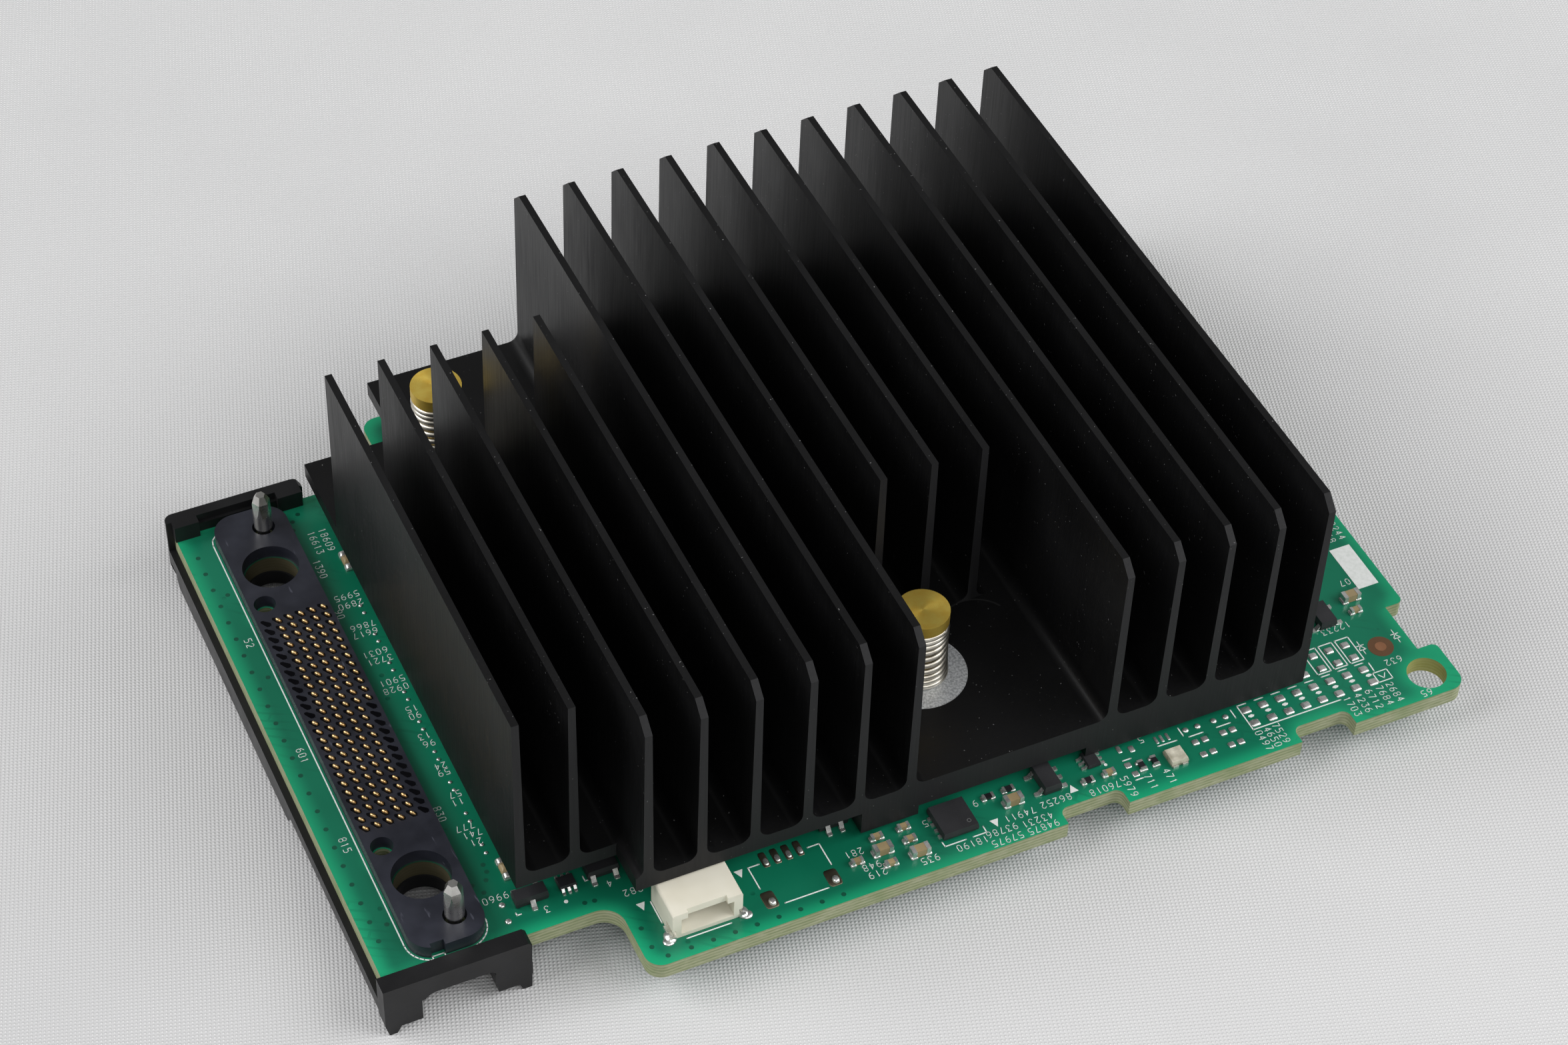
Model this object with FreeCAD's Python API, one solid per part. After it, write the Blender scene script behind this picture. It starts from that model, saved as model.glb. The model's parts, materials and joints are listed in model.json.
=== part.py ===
import FreeCAD, Part
import math
import os

# Raid controller card: a finned, spring-screwed heat sink over a controller chip on a
# small circuit board, with a compression connector and its carrier bracket at one end.
# All lengths are in millimetres.  While it is being built, X runs along the board from the
# connector end, Y across it and Z up from the board's top face.  save() then moves every
# piece so that the origin is under the middle of the card, on the surface that the
# bracket's feet stand on.

V = FreeCAD.Vector

# ---- circuit board ----
BOARD_L = 94.1
BOARD_W = 66.0
BOARD_T = 1.6
NECK_X = 19.45          # the board is narrower up to here, where the bracket holds it
NECK_W = 52.0           # width of that narrow end, with room for the connector
NECK_IN = (BOARD_W - NECK_W) / 2
INNER_R = 1.9           # fillet of the corner between neck and long edge
OUTER_R = 1.4
NOTCHES = ((56.1, 61.75), (BOARD_L - 16.1, BOARD_L - 10.9))
NOTCH_DEPTH = 1.62
NOTCH_R = 0.7
EAR_IN = 1.8            # recess above the ear
EAR_Y = 5.1             # width of the ear
EAR_GAP = 5.2           # height of the recess beside it
EAR_R = 0.6
EAR_HOLE = (BOARD_L - 2.53, 2.45)
EAR_HOLE_R = 1.7

# ---- heat sink ----
FIN_PITCH = 4.552
FIN_X0 = 12.39          # centre of the first fin
SINK_END_GAP = 13.4     # bare board beyond the last fin
FIN_COUNT = int((BOARD_L - SINK_END_GAP - FIN_X0) / FIN_PITCH) + 1
FIN_TOP_T = 0.61
FIN_ROOT_T = 0.86
FIN_ROOT_R = 1.0
SINK_TOP = 22.25
BASE_TOP = 4.47
BASE_LOW = 0.6          # underside of the full-thickness base
POCKET_CHIP = 3.03      # underside over the controller and the cable connector
POCKET_PARTS = 1.64     # underside over the row of small parts
SINK_NEAR = 5.36
SINK_FAR = BOARD_W
STEP_X = 20.42          # the first two fins are shorter at both ends
STEP_NEAR = 9.31
STEP_FAR = BOARD_W - 7.45
FIN_CHAMFER = 1.17
FAR_CUT_FINS = 5        # fins cut back at the far screw
FAR_CUT_DEPTH = 15.73
FAR_CUT_Y = BOARD_W - FAR_CUT_DEPTH
NEAR_CUT_FIRST = 8      # fins 9 to 11 are cut back at the near screw
NEAR_CUT_LAST = 10
NEAR_CUT_Y = 21.69
LIP_X = (40.0, 45.12)   # leg of full thickness at the near edge
PARTS_X = 60.4          # right end of the pocket over the small parts
PARTS_Y = 27.0
POCKET_ROOM = 3.1       # gap between the controller and the walls of its pocket
MILL_R = 2.0            # corner radius that the milling cutter leaves
SPOT_R = 4.13           # machined flat round each screw
SPOT_DEPTH = 0.06

# ---- spring screws ----
NEAR_SCREW_X = 50.2
NEAR_SCREW_Y = 16.15
FAR_SCREW_X = 23.4
FAR_SCREW_IN = 10.1     # from the board's far edge
SCREWS = ((NEAR_SCREW_X, NEAR_SCREW_Y), (FAR_SCREW_X, BOARD_W - FAR_SCREW_IN))
SCREW_R = 1.0
HEAD_R = 2.22
HEAD_TOP = 12.0
HEAD_T = 1.1
BASE_HOLE_R = 1.25
BOARD_HOLE_R = 1.45
WIRE_T = 0.42
SPRING_R = 1.58         # mean radius of the coil
SPRING_TURNS = 9
SPRING_SIDES = 8        # straight lengths in one turn
CLIP_R = 2.6
CLIP_T = 0.8
CLIP_SLOT = 1.0         # width of the slot that lets the clip slide on
TAIL_T = 0.55           # screw's end below the clip

# ---- controller ----
CHIP_X = (SCREWS[0][0] + SCREWS[1][0]) / 2
CHIP_Y = (SCREWS[0][1] + SCREWS[1][1]) / 2
BALL_W = 24.0
BALL_T = 0.4
CARRIER_W = 27.0
CARRIER_T = 1.0
LID_W = 23.0
PAD_W = 20.0
PAD_T = 0.3

# ---- compression connector ----
FIELD_X = 6.12          # middle of the contact field
FIELD_Y = BOARD_W / 2
HOUSING_W = 6.4
HOUSING_LEN = 50.5
HOUSING_T = 1.3
HOUSING_R = 2.0
ROWS = 25
COLUMNS = 6
GRID = 1.0
HALF_ROWS = 12          # rows whose outer left contact is left out
SLOT_DEPTH = 0.55
SLOT_HALF_W = 0.2       # at the slot's wide end; the other end is a point
SLOT_WIDE_END = -0.4
SLOT_POINT = 0.64
CONTACT_HALF_T = 0.1
CONTACT_FOOT = (-0.36, 0.08)
CONTACT_TIP = -0.2
SLOT_TURN = -50         # the slots lie askew to the grid
CONTACT_RISE = 0.78
PORT_OFFSET = 18.1      # the two screw ports, from the middle row
PORT_R = 2.425
PORT_BOARD_R = 2.3
PORT_BRACKET_R = 2.15
POST_HOLE = (4.25, 14.2)
POST_HOLE_R = 0.93
POST_BOARD_R = 0.8
KEY_X = (1.36, 2.5)     # key notch in the housing's near end, from its left side
KEY_DEPTH = 0.5
PIN_X = 7.1
PIN_OFFSET = 22.85
PIN_R = 0.8
PIN_SHANK_R = 0.55      # below the shoulder, which stands just clear of the housing
PIN_SHOULDER_GAP = 0.12
PIN_SHOULDER = HOUSING_T + PIN_SHOULDER_GAP
PIN_SHANK_GAP = 0.03    # all round, between the shank and its blind socket
PIN_TOP = 5.2
PIN_FACETS = 2.9        # height at which the corners between the six flats begin
PIN_CONE = 4.5          # height at which the flats turn inwards
PIN_NECK_R = 0.78       # corner radius of the flats there
PIN_TIP_R = 0.42        # corner radius of the small flat end
PIN_HOLE_R = 0.975

# ---- carrier bracket ----
RAIL = 0.6              # how far the bracket stands out past the board's end
BRACKET_X1 = 11.7
NEAR_WALL = 1.55
FAR_WALL = 1.0
PLATE_T = 1.4
ARCH_CLEAR = 0.4        # the plate keeps this far in from the board's edges under the arches
FOOT_Z = -4.6
LEG_Z = -3.87
ARCH_Z = -1.06
ARCH_R = 1.1
LEG_W = 3.1
LEG_DRAFT = 0.2
LEG_R = 0.8
CAP_CHAMFER = 0.3
CAP_NEAR_Z = 0.95
CAP_FAR_Z = 1.7
CLIP_REACH = 0.85       # how far the far clips lie over the board
CLIP_MID_REACH = 0.3
CLIP_W = 2.2
WINDOW_W = 6.5
WINDOW_LEN = 26.8
SKIRT_T = 1.3
PIN_SEAT = 1.0          # depth of each pin's blind socket in the plate

# ---- lower connector ----
PLUG_DEPTH = 2.45
PLUG_GAP = 0.15         # all round, between plug and bracket
PLUG_CAVITY = 3.0
PLUG_ROOF = 0.7
PLUG_END = 0.9
PLUG_CONTACTS = 13
PLUG_MARGIN = 0.15      # between the last contacts and the ends of the cavity
PLUG_BLADE_T = 0.18
PLUG_BLADE_W = 0.4
PLUG_BLADE_L = 1.5
PLUG_RUN = WINDOW_LEN - 2 * (PLUG_GAP + PLUG_END + PLUG_MARGIN) - PLUG_BLADE_W
PLUG_PITCH = PLUG_RUN / (PLUG_CONTACTS - 1)

# ---- cable connector ----
CABLE = (22.1, 2.0, 28.1, 6.25)
CABLE_H = 2.85
CABLE_PINS = 4
CABLE_PITCH = 1.0


def save(shape, name):
    shape = shape.copy()
    shape.translate(V(-(BOARD_L - RAIL) / 2, -BOARD_W / 2, -FOOT_Z))
    shape.exportStep("parts/" + name + ".step")


def rounded_face(points, to_3d):
    """Face with corners (a, b, radius); to_3d places (a, b) in space."""
    count = len(points)
    spans = []
    for i in range(count):
        p = V(points[i][0], points[i][1], 0)
        before = V(points[i - 1][0], points[i - 1][1], 0) - p
        after = V(points[(i + 1) % count][0], points[(i + 1) % count][1], 0) - p
        radius = points[i][2]
        if radius <= 0:
            spans.append((p, None, p))
            continue
        before.normalize()
        after.normalize()
        half = before.getAngle(after) / 2
        inward = before + after
        inward.normalize()
        centre = p + inward * (radius / math.sin(half))
        reach = radius / math.tan(half)
        spans.append((p + before * reach, centre - inward * radius, p + after * reach))
    edges = []
    for i in range(count):
        first, middle, last = spans[i]
        if middle is not None:
            edges.append(Part.Arc(to_3d(first), to_3d(middle), to_3d(last)).toShape())
        follower = spans[(i + 1) % count][0]
        if (follower - last).Length > 1e-6:
            edges.append(Part.makeLine(to_3d(last), to_3d(follower)))
    return Part.Face(Part.Wire(edges))


def plate(points, z0, z1):
    """Prism standing on a plan outline."""
    return rounded_face(points, lambda p: V(p.x, p.y, z0)).extrude(V(0, 0, z1 - z0))


def rail(points, y0, y1):
    """Prism along Y with an outline in X and Z."""
    return rounded_face(points, lambda p: V(p.x, y0, p.y)).extrude(V(0, y1 - y0, 0))


def beam(points, x0, x1):
    """Prism along X with an outline in Y and Z."""
    return rounded_face(points, lambda p: V(x0, p.x, p.y)).extrude(V(x1 - x0, 0, 0))


def block(x0, y0, z0, x1, y1, z1):
    return Part.makeBox(x1 - x0, y1 - y0, z1 - z0, V(x0, y0, z0))


def slab(x0, y0, x1, y1, z0, z1, radius):
    corners = ((x0, y0, radius), (x1, y0, radius), (x1, y1, radius), (x0, y1, radius))
    return plate(corners, z0, z1)


def drum(x, y, z0, z1, radius):
    return Part.makeCylinder(radius, z1 - z0, V(x, y, z0))


def turned(x, y, profile):
    """Solid of revolution about a vertical axis from (radius, height) points."""
    points = [V(x + r, y, z) for r, z in profile]
    points.append(points[0])
    return Part.Face(Part.makePolygon(points)).revolve(V(x, y, 0), V(0, 0, 1), 360)


def fin_x(index):
    return FIN_X0 + FIN_PITCH * index


def housing_box():
    x0 = FIELD_X - HOUSING_W / 2
    y0 = FIELD_Y - HOUSING_LEN / 2
    return x0, y0, x0 + HOUSING_W, y0 + HOUSING_LEN


def port_centres():
    return [(FIELD_X, FIELD_Y + side * PORT_OFFSET) for side in (-1, 1)]


def pin_centres():
    return [(PIN_X, FIELD_Y + side * PIN_OFFSET) for side in (-1, 1)]


def contact_places():
    """Centres of all the slots, and whether each holds a contact."""
    places = []
    for row in range(ROWS):
        for column in range(COLUMNS):
            x = FIELD_X + (column - (COLUMNS - 1) / 2) * GRID
            y = FIELD_Y + ((ROWS - 1) / 2 - row) * GRID
            empty = column == 0 if row < HALF_ROWS else column == COLUMNS - 1
            places.append((x, y, not empty))
    return places


def circuit_board():
    near = [(NECK_X, NECK_IN, INNER_R), (NECK_X, 0, OUTER_R)]
    for x0, x1 in NOTCHES:
        near += [(x0, 0, 0), (x0, NOTCH_DEPTH, NOTCH_R), (x1, NOTCH_DEPTH, NOTCH_R), (x1, 0, 0)]
    ear = [(BOARD_L, 0, OUTER_R), (BOARD_L, EAR_Y, EAR_R), (BOARD_L - EAR_IN, EAR_Y, 0)]
    ear += [(BOARD_L - EAR_IN, EAR_Y + EAR_GAP, 0), (BOARD_L, EAR_Y + EAR_GAP, EAR_R)]
    far = [(BOARD_L, BOARD_W, OUTER_R), (NECK_X, BOARD_W, OUTER_R)]
    far += [(NECK_X, BOARD_W - NECK_IN, INNER_R), (0, BOARD_W - NECK_IN, 0)]
    board = plate([(0, NECK_IN, 0)] + near + ear + far, -BOARD_T, 0)
    holes = [drum(EAR_HOLE[0], EAR_HOLE[1], -BOARD_T - 1, 1, EAR_HOLE_R)]
    holes += [drum(x, y, -BOARD_T - 1, 1, PORT_BOARD_R) for x, y in port_centres()]
    holes += [drum(x, y, -BOARD_T - 1, 1, PIN_HOLE_R) for x, y in pin_centres()]
    holes += [drum(x, y, -BOARD_T - 1, 1, BOARD_HOLE_R) for x, y in SCREWS]
    for side in (-1, 1):
        y = FIELD_Y + side * POST_HOLE[1]
        holes.append(drum(POST_HOLE[0], y, -BOARD_T - 1, 1, POST_BOARD_R))
    return board.cut(Part.makeCompound(holes))


def heat_sink():
    side = FIN_ROOT_T / 2
    tip = FIN_TOP_T / 2
    profile = [(fin_x(0) - side, BASE_LOW, 0), (fin_x(0) - side, BASE_TOP, 0)]
    for i in range(FIN_COUNT):
        x = fin_x(i)
        if i > 0:
            profile.append((x - side, BASE_TOP, FIN_ROOT_R))
        profile += [(x - tip, SINK_TOP, 0), (x + tip, SINK_TOP, 0)]
        if i < FIN_COUNT - 1:
            profile.append((x + side, BASE_TOP, FIN_ROOT_R))
    last = fin_x(FIN_COUNT - 1) + side
    profile += [(last, BASE_TOP, 0), (last, BASE_LOW, 0)]
    sink = rail(profile, SINK_NEAR, SINK_FAR)
    left = fin_x(0) - 2
    root = side + FIN_ROOT_R
    cuts = [block(left, 0, 0, STEP_X, STEP_NEAR, SINK_TOP + 1)]
    cuts.append(block(left, STEP_FAR, 0, STEP_X, BOARD_W + 1, SINK_TOP + 1))
    far_x = fin_x(FAR_CUT_FINS) - root
    cuts.append(block(left, FAR_CUT_Y, BASE_TOP, far_x, BOARD_W + 1, SINK_TOP + 1))
    near_x0 = fin_x(NEAR_CUT_FIRST - 1) + root
    near_x1 = fin_x(NEAR_CUT_LAST + 1) - root
    cuts.append(block(near_x0, 0, BASE_TOP, near_x1, NEAR_CUT_Y, SINK_TOP + 1))
    for edge, way in ((SINK_NEAR, 1), (SINK_FAR, -1)):
        corner = ((edge - way, SINK_TOP + 1, 0), (edge + way * (FIN_CHAMFER + 1), SINK_TOP + 1, 0),
                  (edge - way, SINK_TOP - FIN_CHAMFER - 1, 0))
        cuts.append(beam(corner, left, last + 2))
    cuts.append(block(left, 0, 0, LIP_X[0], BOARD_W + 1, POCKET_CHIP))
    cuts.append(centred(CARRIER_W + 2 * POCKET_ROOM, 0, POCKET_CHIP, MILL_R))
    parts_row = ((LIP_X[1], 0, 0), (PARTS_X, 0, 0), (PARTS_X, PARTS_Y, MILL_R), (LIP_X[1], PARTS_Y, MILL_R))
    cuts.append(plate(parts_row, 0, POCKET_PARTS))
    for x, y in SCREWS:
        cuts.append(drum(x, y, 0, SINK_TOP, BASE_HOLE_R))
        cuts.append(drum(x, y, BASE_TOP - SPOT_DEPTH, BASE_TOP + 1, SPOT_R))
    for cutter in cuts:
        sink = sink.cut(cutter)
    return sink


def spring_screws():
    solids = []
    bottom = -BOARD_T - CLIP_T - TAIL_T
    for x, y in SCREWS:
        profile = [(0, bottom), (SCREW_R, bottom), (SCREW_R, HEAD_TOP - HEAD_T)]
        profile += [(HEAD_R, HEAD_TOP - HEAD_T), (HEAD_R, HEAD_TOP), (0, HEAD_TOP)]
        solids.append(turned(x, y, profile))
    return Part.makeCompound(solids)


def screw_springs():
    """Square-section coils, each swept along a many-sided helix."""
    solids = []
    low = BASE_TOP - SPOT_DEPTH
    half = WIRE_T / 2
    rise = HEAD_TOP - HEAD_T - low - WIRE_T
    steps = SPRING_TURNS * SPRING_SIDES
    corners = ((-half, -half), (half, -half), (half, half), (-half, half))
    for x, y in SCREWS:
        rings = []
        for k in range(steps + 1):
            angle = 2 * math.pi * k / SPRING_SIDES
            z = low + half + rise * k / steps
            ring = [V(x + (SPRING_R + a) * math.cos(angle), y + (SPRING_R + a) * math.sin(angle), z + b)
                    for a, b in corners]
            rings.append(Part.makePolygon(ring + [ring[0]]))
        solids.append(Part.makeLoft(rings, True, True))
    return Part.makeCompound(solids)


def screw_retainers():
    solids = []
    for x, y in SCREWS:
        ring = drum(x, y, -BOARD_T - CLIP_T, -BOARD_T, CLIP_R)
        ring = ring.cut(drum(x, y, -BOARD_T - CLIP_T - 1, 0, SCREW_R))
        slot = block(x - CLIP_SLOT / 2, y, -BOARD_T - CLIP_T - 1, x + CLIP_SLOT / 2, y + CLIP_R + 1, 0)
        solids.append(ring.cut(slot))
    return Part.makeCompound(solids)


def connector_housing():
    x0, y0, x1, y1 = housing_box()
    body = slab(x0, y0, x1, y1, 0, HOUSING_T, HOUSING_R)
    cuts = [drum(x, y, -1, HOUSING_T + 1, PORT_R) for x, y in port_centres()]
    cuts += [drum(x, y, -1, HOUSING_T + 1, PIN_HOLE_R) for x, y in pin_centres()]
    for side in (-1, 1):
        y = FIELD_Y + side * POST_HOLE[1]
        cuts.append(drum(POST_HOLE[0], y, -1, HOUSING_T + 1, POST_HOLE_R))
    cuts.append(block(x0 + KEY_X[0], y0 - 1, -1, x0 + KEY_X[1], y0 + KEY_DEPTH, HOUSING_T + 1))
    for x, y, _ in contact_places():
        slot = [(SLOT_WIDE_END, -SLOT_HALF_W, 0), (SLOT_POINT, 0, 0), (SLOT_WIDE_END, SLOT_HALF_W, 0)]
        pocket = plate(slot, HOUSING_T - SLOT_DEPTH, HOUSING_T + 1)
        pocket.rotate(V(0, 0, 0), V(0, 0, 1), SLOT_TURN)
        pocket.translate(V(x, y, 0))
        cuts.append(pocket)
    return body.cut(Part.makeCompound(cuts))


def connector_contacts():
    """Sprung contacts, each a leaning beak that stands out of its slot."""
    solids = []
    floor = HOUSING_T - SLOT_DEPTH
    for x, y, filled in contact_places():
        if not filled:
            continue
        profile = [V(CONTACT_FOOT[0], -CONTACT_HALF_T, floor), V(CONTACT_FOOT[1], -CONTACT_HALF_T, floor),
                   V(CONTACT_TIP, -CONTACT_HALF_T, floor + CONTACT_RISE)]
        blade = Part.Face(Part.makePolygon(profile + [profile[0]])).extrude(V(0, 2 * CONTACT_HALF_T, 0))
        blade.rotate(V(0, 0, 0), V(0, 0, 1), SLOT_TURN)
        blade.translate(V(x, y, 0))
        solids.append(blade)
    return Part.makeCompound(solids)


def guide_pins():
    """Steel pins with a six-sided lead-in ground on the end."""
    solids = []
    bottom = -BOARD_T - PIN_SEAT
    for x, y in pin_centres():
        outline = [(0, bottom), (PIN_SHANK_R, bottom), (PIN_SHANK_R, PIN_SHOULDER), (PIN_R, PIN_SHOULDER)]
        outline += [(PIN_R, PIN_TOP), (0, PIN_TOP)]
        shaft = turned(0, 0, outline)
        wires = []
        corner = PIN_R / math.cos(math.pi / 6)
        for z, r in ((bottom - 1, corner * 1.1), (PIN_FACETS, corner), (PIN_CONE, PIN_NECK_R),
                     (PIN_TOP, PIN_TIP_R)):
            ring = [V(r * math.cos(k * math.pi / 3), r * math.sin(k * math.pi / 3), z) for k in range(6)]
            wires.append(Part.makePolygon(ring + [ring[0]]))
        lead_in = Part.makeLoft(wires, True, True)
        pin = shaft.common(lead_in)
        pin.translate(V(x, y, 0))
        solids.append(pin)
    return Part.makeCompound(solids)


def end_wall(top_z, y0, y1):
    """One end of the bracket: two legs with corner feet, joined by an arch."""
    x0 = -RAIL
    x1 = BRACKET_X1
    outline = [(x0, top_z, 0), (x0, LEG_Z + 0.4, LEG_R), (x0 + 0.28, FOOT_Z, 0), (x0 + 0.95, FOOT_Z, 0)]
    outline += [(x0 + 1.3, LEG_Z, 0), (x0 + LEG_W, LEG_Z, 0), (x0 + LEG_W + LEG_DRAFT, ARCH_Z, ARCH_R)]
    outline += [(x1 - LEG_W, ARCH_Z, ARCH_R / 2), (x1 - LEG_W + LEG_DRAFT, LEG_Z, 0), (x1 - 1.15, LEG_Z, 0)]
    outline += [(x1 - 0.85, FOOT_Z, 0), (x1 - 0.1, FOOT_Z, 0)]
    outline += [(x1, top_z - CAP_CHAMFER, 0), (x1 - CAP_CHAMFER, top_z, 0)]
    return rail(outline, y0, y1)


def window_box(gap):
    half = WINDOW_W / 2 - gap
    reach = WINDOW_LEN / 2 - gap
    return FIELD_X - half, FIELD_Y - reach, FIELD_X + half, FIELD_Y + reach


def carrier_bracket():
    top = -BOARD_T
    near = NECK_IN - NEAR_WALL
    inner = BOARD_W - NECK_IN
    far = inner + FAR_WALL
    body = block(-RAIL, near, top - PLATE_T, BRACKET_X1, far, top)
    body = body.fuse(end_wall(CAP_NEAR_Z, near, NECK_IN))
    body = body.fuse(end_wall(CAP_FAR_Z, inner, far))
    for x0 in (-0.1, BRACKET_X1 - 0.3 - CLIP_W):
        body = body.fuse(block(x0, inner - CLIP_REACH, 0, x0 + CLIP_W, inner + 0.2, CAP_FAR_Z))
    middle = block(CLIP_W - 0.1, inner - CLIP_MID_REACH, 0, BRACKET_X1 - CLIP_W, inner + 0.2, CAP_NEAR_Z)
    body = body.fuse(middle)
    skirt = [(FIELD_Y - 6, top - 0.5, 0), (FIELD_Y - 4.5, FOOT_Z + 0.5, 0)]
    skirt += [(far - 3, FOOT_Z + 0.3, 0), (far - 2, top - 0.5, 0)]
    body = body.fuse(beam(skirt, -RAIL, -RAIL + SKIRT_T))
    cuts = [drum(x, y, FOOT_Z, 0, PORT_BRACKET_R) for x, y in port_centres()]
    arch_x0 = -RAIL + LEG_W
    arch_x1 = BRACKET_X1 - LEG_W
    cuts.append(block(arch_x0, near - 1, FOOT_Z, arch_x1, NECK_IN + ARCH_CLEAR, top))
    cuts.append(block(arch_x0, inner - ARCH_CLEAR, FOOT_Z, arch_x1, far + 1, top))
    cuts += [drum(x, y, top - PIN_SEAT, 0, PIN_SHANK_R + PIN_SHANK_GAP) for x, y in pin_centres()]
    x0, y0, x1, y1 = window_box(0)
    cuts.append(block(x0, y0, FOOT_Z, x1, y1, 0))
    body = body.cut(Part.makeCompound(cuts))
    corners = ((-RAIL, near, 0), (BRACKET_X1, near, 0), (BRACKET_X1, far, 0.8), (-RAIL, far, 0.8))
    return body.common(plate(corners, FOOT_Z - 1, CAP_FAR_Z + 1)).removeSplitter()


def lower_connector_housing():
    """Board-to-board plug under the board: a tray open downwards."""
    x0, y0, x1, y1 = window_box(PLUG_GAP)
    top = -BOARD_T
    body = block(x0, y0, top - PLUG_DEPTH, x1, y1, top)
    side = PLUG_CAVITY / 2
    cavity = block(FIELD_X - side, y0 + PLUG_END, top - PLUG_DEPTH - 1,
                   FIELD_X + side, y1 - PLUG_END, top - PLUG_ROOF)
    return body.cut(cavity)


def lower_connector_contacts():
    roof = -BOARD_T - PLUG_ROOF
    solids = []
    for k in range(PLUG_CONTACTS):
        y = FIELD_Y + (k - (PLUG_CONTACTS - 1) / 2) * PLUG_PITCH
        half = PLUG_BLADE_W / 2
        for side in (-1, 1):
            wall = FIELD_X + side * PLUG_CAVITY / 2
            inner = wall - side * PLUG_BLADE_T
            left = min(wall, inner)
            solids.append(block(left, y - half, roof - PLUG_BLADE_L, left + PLUG_BLADE_T, y + half, roof))
    return Part.makeCompound(solids)


def cable_connector_housing():
    x0, y0, x1, y1 = CABLE
    outline = [(x0, 0.0, 0), (x1, 0.0, 0), (x1, CABLE_H, 0.2), (x0, CABLE_H, 0.2)]
    body = rail(outline, y0, y1)
    mouth = rail([(x0 + 0.75, 0.4, 0), (x1 - 0.75, 0.4, 0), (x1 - 0.75, 2.15, 0), (x0 + 0.75, 2.15, 0)],
                 y0 - 1, y1 - 0.8)
    body = body.cut(mouth)
    for x in (x0, x1):
        body = body.cut(block(x - 0.3, y0 - 0.2, -0.2, x + 0.3, y0 + 1.3, 0.95))
    body = body.cut(block(x0 + 1.3, y0 - 0.1, 2.1, x1 - 1.3, y0 + 0.35, CABLE_H + 0.1))
    return body


def cable_pin_x(k):
    return (CABLE[0] + CABLE[2]) / 2 + (k - (CABLE_PINS - 1) / 2) * CABLE_PITCH


def cable_connector_pins():
    """Square pins standing in the mouth, and the tails soldered behind the housing."""
    back = CABLE[3] - 0.8
    solids = []
    for k in range(CABLE_PINS):
        x = cable_pin_x(k)
        solids.append(block(x - 0.15, back - 2.2, 1.1, x + 0.15, back, 1.4))
        solids.append(block(x - 0.15, CABLE[3], 0, x + 0.15, CABLE[3] + 0.8, 0.25))
    return Part.makeCompound(solids)


def cable_connector_tabs():
    x0, y0, x1, y1 = CABLE
    solids = []
    for x, way in ((x0 + 0.3, -1), (x1 - 0.3, 1)):
        near = min(x, x + way * 0.55)
        solids.append(block(near, y0 - 0.15, 0, near + 0.55, y0 + 1.3, 0.35))
    return Part.makeCompound(solids)


def centred(width, z0, z1, radius):
    half = width / 2
    return slab(CHIP_X - half, CHIP_Y - half, CHIP_X + half, CHIP_Y + half, z0, z1, radius)


def save_controller():
    lid_top = POCKET_CHIP - PAD_T
    save(centred(BALL_W, 0, BALL_T, 0), "controller_solder_field")
    save(centred(CARRIER_W, BALL_T, BALL_T + CARRIER_T, 0), "controller_substrate")
    save(centred(LID_W, BALL_T + CARRIER_T, lid_top, 0), "controller_lid")
    save(centred(PAD_W, lid_top, POCKET_CHIP, 0), "thermal_pad")


def chip_body(x, y, width, depth, height, stand=0.08):
    """Moulded body with a draft on its four sides."""
    wires = []
    for z, inset in ((stand, 0.06), (height * 0.5, 0.0), (height, 0.08)):
        a = width / 2 - inset
        b = depth / 2 - inset
        ring = [V(x - a, y - b, z), V(x + a, y - b, z), V(x + a, y + b, z), V(x - a, y + b, z)]
        wires.append(Part.makePolygon(ring + [ring[0]]))
    return Part.makeLoft(wires, True, True)


def gull_lead(x, y, heading, reach, width, rise):
    """Bent lead whose root is at (x, y) on the side of a body, pointing along heading."""
    t = 0.13
    profile = [(0, rise - t / 2), (reach * 0.45, 0), (reach, 0), (reach, t), (reach * 0.55, t)]
    profile.append((0, rise + t / 2))
    points = [V(a, -width / 2, b) for a, b in profile]
    lead = Part.Face(Part.makePolygon(points + [points[0]])).extrude(V(0, width, 0))
    lead.rotate(V(0, 0, 0), V(0, 0, 1), heading)
    lead.translate(V(x, y, 0))
    return lead


# Small chips: (x, y, width, depth, height, lead reach, lead width,
#               lead places left, right, near, far)
CHIPS = (
    (13.4, 10.2, 2.8, 1.25, 1.0, 0.62, 0.42, (), (), (0.0,), (-0.95, 0.95)),
    (16.55, 10.4, 1.5, 1.15, 0.56, 0.42, 0.24, (), (), (-0.5, 0.0, 0.5), (-0.5, 0.0, 0.5)),
    (19.6, 10.6, 2.7, 1.35, 1.0, 0.62, 0.42, (), (), (-0.95, 0.95), (0.0,)),
    (38.45, 7.9, 2.6, 1.6, 1.1, 0.6, 0.4, (), (), (-0.57, 0.57), (-0.57, 0.57)),
    (56.4, 4.62, 1.6, 2.7, 1.0, 0.68, 0.38, (-0.93, 0.93), (-0.93, 0.0, 0.93), (), ()),
    (60.78, 5.1, 1.2, 1.6, 0.54, 0.45, 0.22, (-0.5, 0.0, 0.5), (-0.5, 0.0, 0.5), (), ()),
    (BOARD_L - 7.6, 11.3, 1.6, 2.5, 0.95, 0.68, 0.38, (-0.93, 0.93), (-0.93, 0.93), (), ()),
)

# Power switch: a flat square package with leads flush on two sides.
SWITCH = (47.5, 3.82, 3.3, 0.95)

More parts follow.
